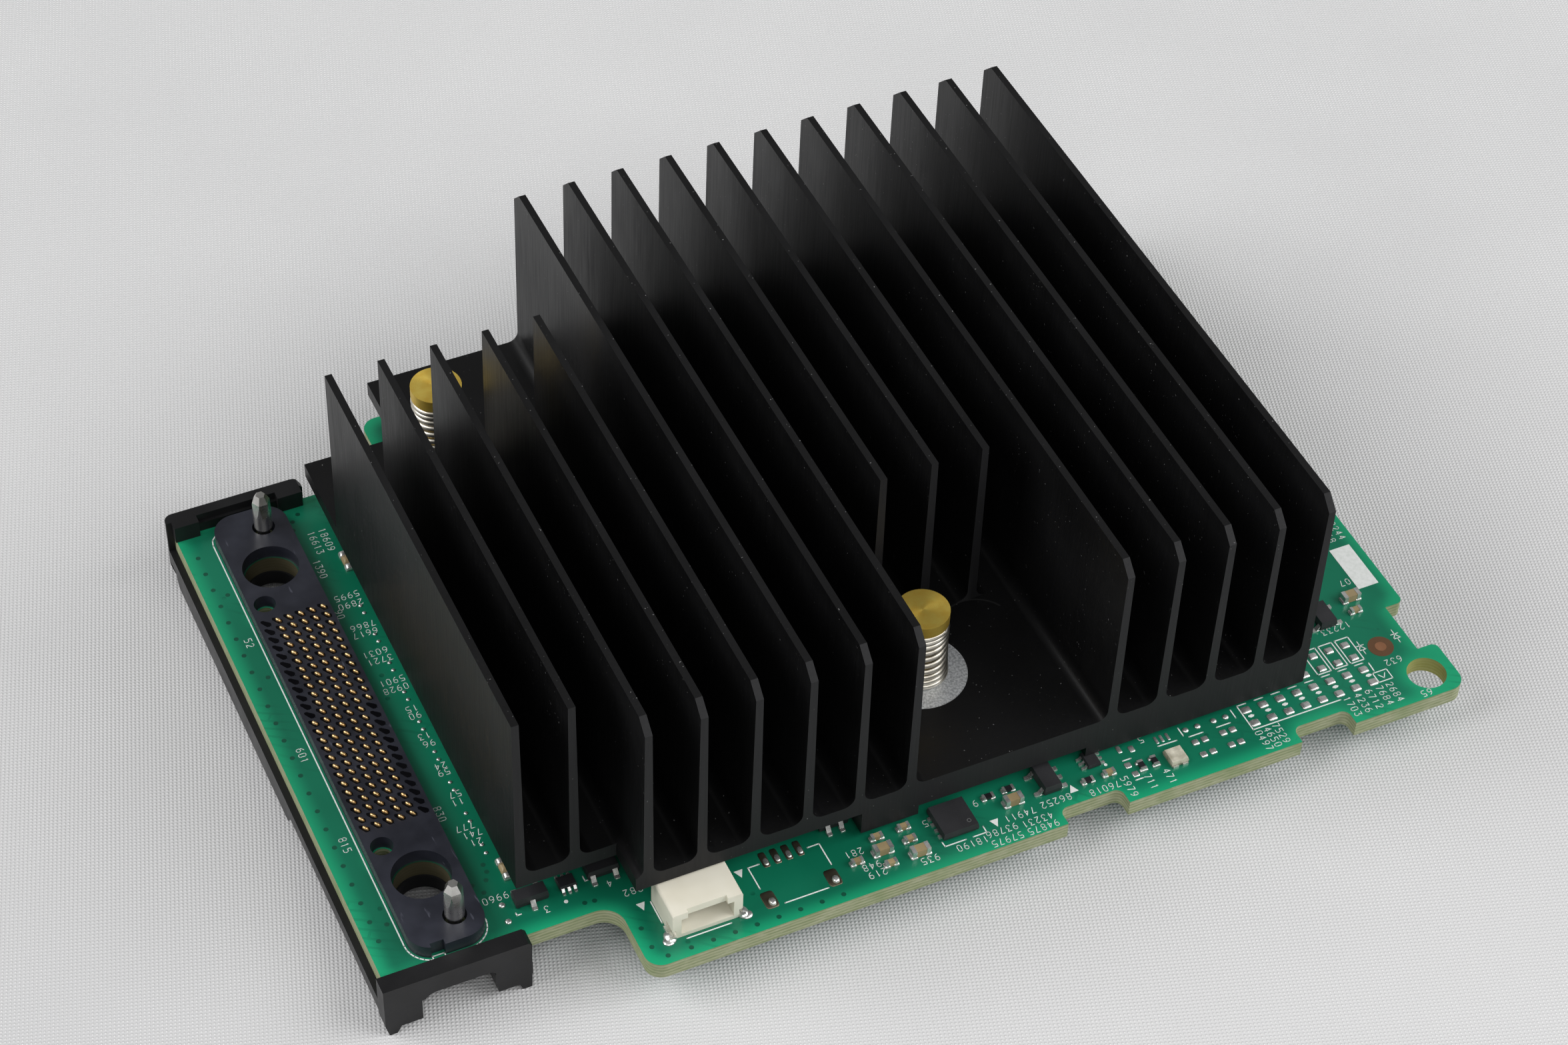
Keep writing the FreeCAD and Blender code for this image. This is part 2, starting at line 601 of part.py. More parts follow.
# Two-terminal parts: (x, y, 1 when it lies along Y)
CAPS_SMALL = ((41.15, 4.8, 0), (38.63, 3.14, 0), (41.07, 1.94, 0), (43.57, 4.87, 0),
              (43.52, 3.55, 0), (61.55, 3.3, 0), (BOARD_L - 4.46, 10.89, 0))
CAPS_LARGE = ((41.0, 3.36, 0), (43.69, 2.05, 0), (52.95, 3.75, 0), (BOARD_L - 4.1, 12.35, 0))
RESISTORS = ((51.3, 5.0, 0), (53.17, 5.08, 0), (59.6, 3.3, 0), (64.42, 2.95, 1), (65.62, 2.96, 1))
SMALL_SIZE = (1.0, 0.5, 0.5, 0.24)
LARGE_SIZE = (1.6, 0.8, 0.8, 0.36)
RESISTOR_SIZE = (1.0, 0.5, 0.35, 0.22)


def chip_parts():
    bodies = []
    leads = []
    for x, y, width, depth, height, reach, wide, left, right, near, far in CHIPS:
        bodies.append(chip_body(x, y, width, depth, height))
        rise = height * 0.5
        a = width / 2
        b = depth / 2
        leads += [gull_lead(x - a, y + p, 180, reach, wide, rise) for p in left]
        leads += [gull_lead(x + a, y + p, 0, reach, wide, rise) for p in right]
        leads += [gull_lead(x + p, y - b, 270, reach, wide, rise) for p in near]
        leads += [gull_lead(x + p, y + b, 90, reach, wide, rise) for p in far]
    return bodies, leads


def two_terminal(x, y, along_y, size):
    """A chip part lying along X or Y: its body and its two plated ends."""
    length, width, height, end = size
    lift = 0.04
    inner = length / 2 - end
    body = block(-inner, -width / 2 + 0.02, lift, inner, width / 2 - 0.02, height - 0.02)
    ends = [block(-length / 2, -width / 2, 0, -inner, width / 2, height),
            block(inner, -width / 2, 0, length / 2, width / 2, height)]
    for piece in [body] + ends:
        if along_y:
            piece.rotate(V(0, 0, 0), V(0, 0, 1), 90)
        piece.translate(V(x, y, 0))
    return body, ends


def save_two_terminal(name, groups):
    bodies = []
    ends = []
    for table, size in groups:
        for x, y, along_y in table:
            body, pair = two_terminal(x, y, along_y, size)
            bodies.append(body)
            ends += pair
    save(Part.makeCompound(bodies), name + "_bodies")
    save(Part.makeCompound(ends), name + "_terminals")


def save_switch():
    x, y, width, height = SWITCH
    half = width / 2
    save(chip_body(x, y, width - 0.1, width - 0.1, height, 0.2), "power_switch_body")
    feet = []
    for k in range(4):
        place = y + (k - 1.5) * 0.65
        feet.append(block(x - half - 0.12, place - 0.16, 0, x - half + 0.5, place + 0.16, 0.2))
    feet.append(block(x - 0.7, y - 1.2, 0, x + half + 0.12, y + 1.2, 0.2))
    save(Part.makeCompound(feet), "power_switch_leads")


def save_led():
    x, y, side, height = 67.42, 2.6, 1.6, 0.62
    save(chip_body(x, y, side, side, height, 0.0), "status_led_body")
    ends = []
    for place in (-0.45, 0.45):
        ends.append(block(x + place - 0.25, y - side / 2 - 0.14, 0, x + place + 0.25, y - side / 2, 0.2))
        ends.append(block(x + place - 0.25, y + side / 2, 0, x + place + 0.25, y + side / 2 + 0.14, 0.2))
    save(Part.makeCompound(ends), "status_led_terminals")


save(circuit_board(), "circuit_board")
save(heat_sink(), "heat_sink")
save(spring_screws(), "spring_screws")
save(screw_springs(), "screw_springs")
save(screw_retainers(), "screw_retainers")
save(connector_housing(), "connector_housing")
save(connector_contacts(), "connector_contacts")
save(guide_pins(), "guide_pins")
save(carrier_bracket(), "carrier_bracket")
save(lower_connector_housing(), "lower_connector_housing")
save(lower_connector_contacts(), "lower_connector_contacts")
save(cable_connector_housing(), "cable_connector_housing")
save(cable_connector_pins(), "cable_connector_pins")
save(cable_connector_tabs(), "cable_connector_tabs")
save_controller()
chip_bodies, chip_leads = chip_parts()
save(Part.makeCompound(chip_bodies), "chip_bodies")
save(Part.makeCompound(chip_leads), "chip_leads")
save_switch()
save_led()
save_two_terminal("capacitor", ((CAPS_SMALL, SMALL_SIZE), (CAPS_LARGE, LARGE_SIZE)))
save_two_terminal("resistor", ((RESISTORS, RESISTOR_SIZE),))
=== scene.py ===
import json
import math
import random

import bpy
import bmesh
from mathutils import Matrix, Vector


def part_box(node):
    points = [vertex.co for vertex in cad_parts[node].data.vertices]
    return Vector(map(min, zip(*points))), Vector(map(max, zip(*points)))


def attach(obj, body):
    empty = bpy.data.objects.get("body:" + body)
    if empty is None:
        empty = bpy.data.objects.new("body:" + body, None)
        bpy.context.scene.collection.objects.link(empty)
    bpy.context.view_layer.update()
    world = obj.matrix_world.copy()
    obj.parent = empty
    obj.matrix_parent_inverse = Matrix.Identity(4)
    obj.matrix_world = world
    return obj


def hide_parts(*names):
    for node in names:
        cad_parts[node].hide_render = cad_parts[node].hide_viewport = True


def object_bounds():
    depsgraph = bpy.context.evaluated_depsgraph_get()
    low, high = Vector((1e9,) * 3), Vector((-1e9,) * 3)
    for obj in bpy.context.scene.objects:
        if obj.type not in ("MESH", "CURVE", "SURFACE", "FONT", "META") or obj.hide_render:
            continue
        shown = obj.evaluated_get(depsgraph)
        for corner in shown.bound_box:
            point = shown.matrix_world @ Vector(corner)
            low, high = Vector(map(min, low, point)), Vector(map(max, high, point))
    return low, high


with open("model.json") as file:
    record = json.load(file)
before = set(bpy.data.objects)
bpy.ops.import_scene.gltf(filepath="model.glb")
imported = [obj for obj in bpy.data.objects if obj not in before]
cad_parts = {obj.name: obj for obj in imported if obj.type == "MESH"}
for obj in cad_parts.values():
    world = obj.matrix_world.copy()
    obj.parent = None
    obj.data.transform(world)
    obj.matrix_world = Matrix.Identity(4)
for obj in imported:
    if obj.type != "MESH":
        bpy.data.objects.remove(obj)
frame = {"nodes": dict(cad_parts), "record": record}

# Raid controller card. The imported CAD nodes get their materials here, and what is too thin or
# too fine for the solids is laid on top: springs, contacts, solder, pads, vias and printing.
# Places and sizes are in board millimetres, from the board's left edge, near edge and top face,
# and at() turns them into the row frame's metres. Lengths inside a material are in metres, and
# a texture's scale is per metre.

cad_lo, cad_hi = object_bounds()
nodes = frame["nodes"]
MM = 0.001
board_lo, board_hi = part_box("circuit_board")
X0 = board_lo[0]
Y0 = board_lo[1]
Z0 = board_hi[2]
BOARD_W = (board_hi[1] - board_lo[1]) / MM


# ---------------------------------------------------------------- places on the card

CONNECTOR_X = 6.12      # the compression connector's middle line
PORTS = ((CONNECTOR_X, 14.9), (CONNECTOR_X, 51.1))
PORT_WALL = 2.6         # a port's drilled wall lies inside this radius
PORT_SHADE = 2.7        # and the mask inside this one is in the housing's shade
EAR_HOLE = (91.57, 2.45)
EAR_WALL = 1.78
FIDUCIAL = (89.56, 6.58)
RETAINER_R = 2.6

# The arc that a cutter left on the sink's floor.
ARC_CENTRE = (57.0, 18.6)
ARC_R = 3.1
ARC_NEAR_END = 20.0     # it shows only beyond this distance from the near edge
ARC_TOP = 4.7           # and only below this height, so not on the fins
ARC_FADE = 0.4          # above which it fades out
ARC_HALF_W = 0.12

# The ring of bare metal on the sink's floor, round the near screw: its radii and heights.
BARE_R = (1.3, 4.1)
BARE_Z = (4.405, 4.425)


def at(x, y, z):
    """Board millimetres to the row frame in metres."""
    return Vector((X0 + x * MM, Y0 + y * MM, Z0 + z * MM))


def mm_box(node):
    """A CAD node's box in board millimetres: x, y, z of its low corner, then of its high one."""
    lo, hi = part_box(node)
    return [(p[i] - o) / MM for p in (lo, hi) for i, o in enumerate((X0, Y0, Z0))]


def screw_places():
    """The near and the far spring screw's axis, from the box of the retainers under them."""
    x0, y0, _, x1, y1, _ = mm_box("screw_retainers")
    return ((x1 - RETAINER_R, y0 + RETAINER_R), (x0 + RETAINER_R, y1 - RETAINER_R))


# ---------------------------------------------------------------- camera

# The camera's place, its three axes, and its sensor and lens in millimetres.
CAMERA_AT = at(-46.13, -151.97, 221.50)
CAMERA_RIGHT = Vector((0.90799, -0.41803, 0.02840))
CAMERA_UP = Vector((0.28290, 0.66164, 0.69441))
CAMERA_BACK = Vector((-0.30908, -0.62248, 0.71902))
SENSOR_WIDTH = 36.0
LENS = 81.13


def make_camera():
    data = bpy.data.cameras.new("camera")
    data.sensor_width = SENSOR_WIDTH
    data.lens = LENS
    data.clip_start = 0.01
    data.clip_end = 20.0
    cam = bpy.data.objects.new("camera", data)
    turn = Matrix((CAMERA_RIGHT, CAMERA_UP, CAMERA_BACK)).transposed()
    cam.matrix_world = Matrix.Translation(CAMERA_AT) @ turn.to_4x4()
    bpy.context.scene.collection.objects.link(cam)
    bpy.context.scene.camera = cam


# ---------------------------------------------------------------- materials

BLACK = (0, 0, 0)
WHITE = (1, 1, 1)


class Shade:
    """A material under construction, with short calls for the nodes that repeat."""

    def __init__(self, name):
        self.mat = bpy.data.materials.new(name)
        self.mat.use_nodes = True
        self.tree = self.mat.node_tree
        self.bsdf = self.tree.nodes["Principled BSDF"]
        self.coords = None

    def feed(self, socket, value):
        """Gives a socket a number or a tuple, or links another node's output to it."""
        if isinstance(value, (int, float)):
            socket.default_value = value
        elif isinstance(value, tuple):
            # a colour socket is one longer than its three values: the last is its opacity
            socket.default_value = (*value, 1)[:len(socket.default_value)]
        else:
            self.tree.links.new(value, socket)

    def feed_all(self, node, values):
        """Feeds inputs by their names, written with _ for a space."""
        for key, value in values.items():
            self.feed(node.inputs[key.replace("_", " ")], value)

    def node(self, kind, settings=None, **inputs):
        """A new node with its settings made and its inputs fed."""
        made = self.tree.nodes.new(kind)
        for key, value in (settings or {}).items():
            setattr(made, key, value)
        self.feed_all(made, inputs)
        return made

    def set(self, **inputs):
        """The finished material, with the surface's inputs fed."""
        self.feed_all(self.bsdf, inputs)
        return self.mat

    # places and directions

    def place(self, scale=(1, 1, 1), turn=(0, 0, 0), shift=(0, 0, 0)):
        """Object coordinates in metres, scaled, turned and shifted."""
        if self.coords is None:
            self.coords = self.node("ShaderNodeTexCoord")
        mapping = self.node("ShaderNodeMapping", Scale=scale, Rotation=turn, Location=shift,
                            Vector=self.coords.outputs["Object"])
        return mapping.outputs["Vector"]

    def axis(self, name):
        """One object coordinate, in metres."""
        return self.node("ShaderNodeSeparateXYZ", Vector=self.place()).outputs[name]

    def facing(self, name):
        """How far the surface faces along an axis, from 0 to 1."""
        normal = self.node("ShaderNodeNewGeometry").outputs["True Normal"]
        split = self.node("ShaderNodeSeparateXYZ", Vector=normal)
        return self.math("ABSOLUTE", split.outputs[name])

    def ring(self, x, y):
        """Distance in metres from an upright axis at board millimetres (x, y)."""
        centre = at(x, y, 0)
        dx = self.math("SUBTRACT", self.axis("X"), centre.x)
        dy = self.math("SUBTRACT", self.axis("Y"), centre.y)
        return self.math("SQRT", self.math("ADD", self.times(dx, dx), self.times(dy, dy)))

    def rim(self, reach):
        """Rises from 0 inside a solid to about 0.5 at its cut edges, over the reach in metres."""
        made = self.node("ShaderNodeAmbientOcclusion",
                         {"samples": 6, "inside": True, "only_local": True}, Distance=reach)
        return self.math("SUBTRACT", 1.0, made.outputs["AO"])

    # sums, masks and colours

    def math(self, operation, *values):
        made = self.node("ShaderNodeMath", {"operation": operation})
        for socket, value in zip(made.inputs, values):
            self.feed(socket, value)
        return made.outputs[0]

    def times(self, a, b):
        return self.math("MULTIPLY", a, b)

    def ramp(self, value, low, low_colour, high, high_colour):
        """Goes from one colour to another as the value goes from low to high."""
        made = self.node("ShaderNodeValToRGB", Fac=value)
        ends = ((low, low_colour), (high, high_colour))
        for element, (place, colour) in zip(made.color_ramp.elements, ends):
            element.position = place
            element.color = (*colour, 1)
        return made.outputs["Color"]

    def rise(self, value, low, high):
        """A mask that goes from 0 to 1 as the value goes from low to high."""
        return self.ramp(value, low, BLACK, high, WHITE)

    def fall(self, value, low, high):
        """A mask that goes from 1 to 0 as the value goes from low to high."""
        return self.ramp(value, low, WHITE, high, BLACK)

    def mix(self, factor, a, b):
        """Colour a where the factor is 0, colour b where it is 1."""
        made = self.node("ShaderNodeMix", {"data_type": "RGBA"})
        # the node's inputs share names, so its colour ones go by their places
        for index, value in ((0, factor), (6, a), (7, b)):
            self.feed(made.inputs[index], value)
        return made.outputs[2]

    def over(self, base, mask, strength, colour):
        """Lays a colour over the base where the mask is 1, at a strength."""
        return self.mix(self.times(mask, strength), base, colour)

    # textures and relief

    def noise(self, scale, detail=3.0, rough=0.5, where=None):
        made = self.node("ShaderNodeTexNoise", Scale=scale, Detail=detail, Roughness=rough,
                         Vector=where or self.place())
        return made.outputs["Fac"]

    def wave(self, settings, scale, distortion, where):
        made = self.node("ShaderNodeTexWave", settings, Scale=scale, Distortion=distortion,
                         Vector=where)
        return made.outputs["Fac"]

    def bump(self, height, strength, distance, under=None):
        """Relief from a height, over the relief that is under it."""
        made = self.node("ShaderNodeBump", Strength=strength, Distance=distance, Height=height)
        if under is not None:
            self.feed(made.inputs["Normal"], under)
        return made.outputs["Normal"]


def hidden_tracks(s):
    """Tracks under the mask: wandering runs, kept only in some zones."""
    slant = 0.6
    wander = 0.004
    noise = s.node("ShaderNodeTexNoise", Scale=60.0, Vector=s.place())
    off = s.node("ShaderNodeVectorMath", {"operation": "SCALE"},
                 Vector=noise.outputs["Color"], Scale=wander)
    place = s.node("ShaderNodeVectorMath", {"operation": "ADD"},
                   Vector=s.place(turn=(0, 0, slant)))
    s.feed(place.inputs[1], off.outputs[0])
    runs = s.node("ShaderNodeTexBrick", {"offset": 0.37}, Scale=1.0, Mortar_Size=0.00012,
                  Brick_Width=0.0062, Row_Height=0.00085, Vector=place.outputs[0])
    zone = s.rise(s.noise(160.0, 1.0), 0.55, 0.63)
    return s.times(runs.outputs["Fac"], zone)


def hidden_vias(s):
    """Filled vias under the mask: dark pits at some of a field of points."""
    points = s.node("ShaderNodeTexVoronoi", Scale=420.0, Vector=s.place())
    pit = s.fall(points.outputs["Distance"], 0.07, 0.11)
    keep = s.rise(s.noise(240.0, 0.0), 0.52, 0.58)
    return s.times(pit, keep)


def cut_laminate(s):
    """The board's cut edges: thin layers, torn fibres and stains, and the ports' walls in painted
    shade.
    """
    layers = s.wave({"wave_type": "BANDS", "bands_direction": "Z"}, 900.0, 0.8, s.place())
    colour = s.mix(layers, (0.19, 0.23, 0.11), (0.34, 0.36, 0.22))
    torn = s.rise(s.noise(2200.0, 4.0, 0.7, s.place(scale=(0.35, 0.35, 1.4))), 0.45, 0.7)
    colour = s.over(colour, torn, 0.5, (0.46, 0.46, 0.33))
    stain = s.rise(s.noise(300.0, 2.0), 0.5, 0.75)
    colour = s.over(colour, stain, 0.45, (0.15, 0.22, 0.08))
    # painted shade: the ports' drilled walls made nearly black
    port_wall_shade = (0.040, 0.030, 0.013)
    yellow = (0.34, 0.32, 0.05)     # light comes through the ear
    for place, reach, shade, strength in ((PORTS[0], PORT_WALL, port_wall_shade, 0.93),
                                          (PORTS[1], PORT_WALL, port_wall_shade, 0.93),
                                          (EAR_HOLE, EAR_WALL, yellow, 0.6)):
        inside = s.math("LESS_THAN", s.ring(*place), reach * MM)
        colour = s.over(colour, inside, strength, shade)
    return colour


def solder_mask():
    """Green mask on the faces, paler along its rim, and bare laminate on the cut edges."""
    s = Shade("solder_mask")
    green = s.ramp(s.noise(70.0, 2.0), 0.35, (0.004, 0.130, 0.070), 0.65, (0.007, 0.180, 0.098))
    rim = s.rise(s.rim(0.0015), 0.03, 0.42)
    away = s.math("MINIMUM", *[s.ring(*port) for port in PORTS])
    away = s.math("GREATER_THAN", away, PORT_SHADE * MM)
    green = s.over(green, s.times(rim, away), 0.85, (0.012, 0.36, 0.17))
    # painted shade: the mask round each port, in the housing's shade
    green = s.over(green, s.math("SUBTRACT", 1.0, away), 0.8, (0.008, 0.03, 0.015))
    tracks = hidden_tracks(s)
    green = s.over(green, tracks, 0.22, (0.003, 0.085, 0.05))
    pits = hidden_vias(s)
    green = s.over(green, pits, 0.55, (0.002, 0.06, 0.035))
    face = s.rise(s.facing("Z"), 0.45, 0.55)
    colour = s.mix(face, cut_laminate(s), green)
    height = s.math("ADD", s.times(tracks, 0.5), s.times(pits, -1.0))
    normal = s.bump(height, 0.3, 0.00006)
    normal = s.bump(s.noise(500.0, 2.0), 0.06, 0.00005, normal)
    rough = s.math("MULTIPLY_ADD", face, -0.42, 0.7)
    return s.set(Base_Color=colour, Roughness=rough, Normal=normal, Specular_IOR_Level=0.4)


def cutter_arc(s):
    """The arc on the sink's floor, as a mask."""
    off = s.math("ABSOLUTE", s.math("SUBTRACT", s.ring(*ARC_CENTRE), ARC_R * MM))
    line = s.fall(s.times(off, 1 / MM), 0.0, ARC_HALF_W)
    above = s.math("SUBTRACT", s.axis("Z"), at(0, 0, ARC_TOP).z)
    low = s.fall(above, 0.0, ARC_FADE * MM)
    beyond = s.math("GREATER_THAN", s.axis("Y"), at(0, ARC_NEAR_END, 0).y)
    return s.times(s.times(line, beyond), low)


def black_anodised():
    """Black extrusion: streaks that run up the fins, greyer sawn ends, a little dust."""
    s = Shade("black_anodised")
    streaks = s.noise(5200.0, 3.0, 0.6, s.place(scale=(1, 1, 0.03)))
    blotch = s.noise(110.0, 4.0)
    dust = s.rise(s.noise(4600.0, 1.0), 0.765, 0.79)
    sawn = s.rise(s.facing("Y"), 0.35, 0.6)
    colour = s.ramp(blotch, 0.3, (0.0034, 0.0034, 0.0036), 0.75, (0.0060, 0.0060, 0.0064))
    colour = s.over(colour, sawn, 0.85, (0.0115, 0.0115, 0.0125))
    colour = s.over(colour, dust, 0.3, (0.5, 0.5, 0.5))
    colour = s.over(colour, cutter_arc(s), 0.6, (0.035, 0.035, 0.035))
    rough = s.math("MULTIPLY_ADD", blotch, 0.16, 0.3)
    rough = s.math("MULTIPLY_ADD", s.rise(streaks, 0.35, 0.7), 0.1, rough)
    rough = s.math("MULTIPLY_ADD", sawn, 0.2, rough)
    height = s.math("ADD", s.times(streaks, 0.7), s.times(s.noise(1400.0, 3.0), 0.3))
    normal = s.bump(height, 0.2, 0.00003)
    return s.set(Base_Color=colour, Roughness=rough, Normal=normal, Specular_IOR_Level=0.26)


def metal(name, colour, dark, rough, scale, strength=0.1):
    """Metal with dark blotches and a fine grain."""
    s = Shade(name)
    blotch = s.noise(scale * 0.2, 4.0)
    tint = s.ramp(blotch, 0.3, dark, 0.7, colour)
    rough = s.math("MULTIPLY_ADD", blotch, 0.15, rough)
    normal = s.bump(s.noise(scale, 3.0), strength, 0.00003)
    return s.set(Base_Color=tint, Metallic=1.0, Roughness=rough, Normal=normal)


def brass():
    """Turned heads: fine rings about each screw's axis, and a light tarnish."""
    s = Shade("brass")
    blotch = s.noise(900.0, 5.0, 0.6)
    tint = s.ramp(blotch, 0.3, (0.95, 0.61, 0.09), 0.7, (1.0, 0.77, 0.17))
    near_place, far_place = screw_places()
    near, far = s.ring(*near_place), s.ring(*far_place)
    ring_pitch = 0.00016
    rings = s.math("SINE", s.times(s.math("MINIMUM", near, far), 2 * math.pi / ring_pitch))
    height = s.math("MULTIPLY_ADD", rings, 0.5, s.noise(2200.0, 3.0))
    rough = s.math("MULTIPLY_ADD", blotch, 0.14, 0.30)
    # the grain runs round whichever screw is nearer
    pick = s.math("LESS_THAN", near, far)
    a, b = at(*near_place, 0), at(*far_place, 0)
    dx = s.math("SUBTRACT", s.axis("X"), s.math("MULTIPLY_ADD", pick, a.x - b.x, b.x))
    dy = s.math("SUBTRACT", s.axis("Y"), s.math("MULTIPLY_ADD", pick, a.y - b.y, b.y))
    grain = s.node("ShaderNodeCombineXYZ", X=s.times(dy, -1.0), Y=dx)
    return s.set(Base_Color=tint, Metallic=0.8, Roughness=rough, Anisotropic=0.8,
                 Tangent=grain.outputs["Vector"], Normal=s.bump(height, 0.25, 0.00002))


def resin(name, colour, light, rough, scale=1800.0, strength=0.15, scratch=0.0, grain=260.0,
          shine=0.5):
    """Moulded plastic with a fine grain and, where asked, light scratches."""
    s = Shade(name)
    tint = s.ramp(s.noise(grain, 4.0), 0.3, colour, 0.75, light)
    if scratch:
        long = s.noise(1900.0, 2.0, 0.5, s.place(scale=(1, 0.22, 1), turn=(0, 0, 0.9)))
        pale = tuple(min(1, c * 4 + 0.05) for c in light)
        tint = s.over(tint, s.rise(long, 0.70, 0.74), scratch, pale)
    rough = s.math("MULTIPLY_ADD", s.noise(500.0, 3.0), 0.2, rough - 0.1)
    normal = s.bump(s.noise(scale, 3.0), strength, 0.00004)
    return s.set(Base_Color=tint, Roughness=rough, Specular_IOR_Level=shine, Normal=normal)


def bare_aluminium():
    """Bare metal round the near screw: turned rings about its axis, and pale spots."""
    s = Shade("bare_aluminium")
    centre = at(*screw_places()[0], 0)
    turned = s.wave({"wave_type": "RINGS", "rings_direction": "Z"}, 1500.0, 1.0,
                    s.place(shift=(-centre.x, -centre.y, 0)))
    spots = s.ramp(s.noise(5000.0, 2.0), 0.36, (0.52, 0.54, 0.56), 0.62, (0.93, 0.95, 0.97))
    return s.set(Base_Color=spots, Metallic=0.55, Roughness=0.42,
                 Normal=s.bump(turned, 0.15, 0.00002))


def printing():
    """White ink."""
    s = Shade("printing")
    tint = s.ramp(s.noise(3000.0, 2.0), 0.3, (0.72, 0.75, 0.72), 0.6, (0.82, 0.84, 0.82))
    return s.set(Base_Color=tint, Roughness=0.55,
                 Normal=s.bump(s.noise(6000.0, 2.0), 0.2, 0.00002))


def solder(name, rough):
    """Dull tin with darker patches."""
    s = Shade(name)
    blotch = s.noise(2500.0, 3.0)
    tint = s.ramp(blotch, 0.3, (0.70, 0.70, 0.68), 0.7, (0.95, 0.95, 0.92))
    rough = s.math("MULTIPLY_ADD", blotch, 0.25, rough)
    return s.set(Base_Color=tint, Metallic=0.85, Roughness=rough,
                 Normal=s.bump(s.noise(3200.0, 3.0), 0.3, 0.00005))


def cloth():
    """Pale woven floor: two crossed sets of threads over soft folds, with painted shade and
    glints.
    """
    s = Shade("cloth")
    weave = s.times(*[s.wave({"wave_type": "BANDS", "bands_direction": "X"}, 940.0, 0.5,
                             s.place(turn=(0, 0, turn)))
                      for turn in (0.30, 0.30 + math.pi / 2)])
    folds = s.noise(9.0, 3.0)
    # painted shade: the cloth lighter and darker with its soft folds
    tint = s.ramp(folds, 0.3, (0.545, 0.545, 0.550), 0.7, (0.610, 0.608, 0.610))
    patchy = s.rise(s.noise(60.0, 2.0), 0.3, 0.7)
    glint = s.rise(weave, 0.45, 0.85)
    strength = s.math("MULTIPLY_ADD", patchy, 0.35, 0.35)
    tint = s.over(tint, glint, strength, (0.9, 0.9, 0.9))
    normal = s.bump(folds, 0.25, 0.012, s.bump(weave, 0.55, 0.00014))
    return s.set(Base_Color=tint, Roughness=0.9, Specular_IOR_Level=0.2, Normal=normal)


MATERIALS = {
    # the record's material slots
    "solder_mask": solder_mask(),
    "black_anodised": black_anodised(),
    "brass": brass(),
    "spring_steel": metal("spring_steel", (0.74, 0.71, 0.63), (0.52, 0.48, 0.40), 0.27, 4000.0),
    "clip_steel": metal("clip_steel", (0.56, 0.56, 0.57), (0.42, 0.42, 0.43), 0.28, 3000.0),
    "connector_resin": resin("connector_resin", (0.012, 0.013, 0.020), (0.028, 0.030, 0.042),
                             0.36, scratch=0.3, grain=420.0, shine=0.45),
    "gold_plate": metal("gold_plate", (1.0, 0.72, 0.36), (0.86, 0.54, 0.22), 0.24, 5000.0),
    "pin_steel": metal("pin_steel", (0.80, 0.79, 0.76), (0.58, 0.57, 0.54), 0.2, 3500.0),
    "bracket_resin": resin("bracket_resin", (0.0065, 0.0065, 0.007), (0.013, 0.013, 0.014),
                           0.38, scale=2600.0, strength=0.25, shine=0.3),
    "cream_resin": resin("cream_resin", (0.70, 0.66, 0.54), (0.80, 0.77, 0.66), 0.42),
    "tin_plate": solder("tin_plate", 0.15),
    "solder": solder("solder_field", 0.3),
    "chip_laminate": resin("chip_laminate", (0.01, 0.08, 0.04), (0.02, 0.12, 0.06), 0.45),
    "lid_nickel": metal("lid_nickel", (0.62, 0.61, 0.58), (0.5, 0.49, 0.47), 0.3, 2500.0),
    "thermal_pad": resin("thermal_pad", (0.30, 0.33, 0.36), (0.40, 0.43, 0.46), 0.8),
    "chip_resin": resin("chip_resin", (0.014, 0.014, 0.016), (0.028, 0.028, 0.031), 0.5,
                        scale=5000.0, strength=0.3),
    "led_resin": resin("led_resin", (0.24, 0.22, 0.15), (0.76, 0.72, 0.60), 0.28, grain=1100.0),
    "capacitor_ceramic": resin("capacitor_ceramic", (0.25, 0.185, 0.095), (0.40, 0.31, 0.17),
                               0.38, scale=6000.0),
    "resistor_glaze": resin("resistor_glaze", (0.012, 0.012, 0.014), (0.022, 0.022, 0.025),
                            0.25),
    # what only the added pieces have
    "printing": printing(),
    "bare_aluminium": bare_aluminium(),
    "copper": metal("copper", (0.72, 0.36, 0.20), (0.55, 0.26, 0.14), 0.35, 3000.0),
    "brown_laminate": resin("brown_laminate", (0.10, 0.045, 0.018), (0.14, 0.07, 0.03), 0.5),
    "dull_pad": metal("dull_pad", (0.30, 0.27, 0.20), (0.14, 0.12, 0.08), 0.35, 2500.0, 0.2),
    "chip_mark": resin("chip_mark", (0.09, 0.09, 0.09), (0.15, 0.15, 0.15), 0.6),
    # painted shade for the connector's slot mouths
    "painted_slot_shade": resin("painted_slot_shade", (0.002, 0.002, 0.003), (0.005, 0.005, 0.006), 0.9,
                       shine=0.03),
    "dark_via": resin("dark_via", (0.003, 0.06, 0.035), (0.005, 0.09, 0.05), 0.35),
}


def dress_cad():
    """Every CAD node gets its slot's material."""
    for part in frame["record"]["subparts"]:
        obj = nodes[part["node"]]
        made = MATERIALS[part["material_slot"]]
        obj.data.materials.clear()
        obj.data.materials.append(made)
        for face in obj.data.polygons:
            face.material_index = 0


# ---------------------------------------------------------------- mesh helpers

INK_Z = (-0.01, 0.02)       # printed lines and shapes, from just inside the board
FLAT_Z = (-0.02, 0.02)      # bare copper
DOME_RINGS = 5


def circle(x, y, r, sides):
    """Plan points round a circle."""
    turns = [2 * math.pi * k / sides for k in range(sides)]
    return [(x + r * math.cos(t), y + r * math.sin(t)) for t in turns]


def quarter(x, y, r, start):
    """Plan points on a quarter circle, in eight steps from the turn it starts at."""
    turns = [start + k * math.pi / 16 for k in range(9)]
    return [(x + r * math.cos(t), y + r * math.sin(t)) for t in turns]


def turned(points, x, y, turn):
    """Plan points turned about their own origin, then moved to (x, y)."""
    c, s = math.cos(turn), math.sin(turn)
    return [(x + a * c - b * s, y + a * s + b * c) for a, b in points]


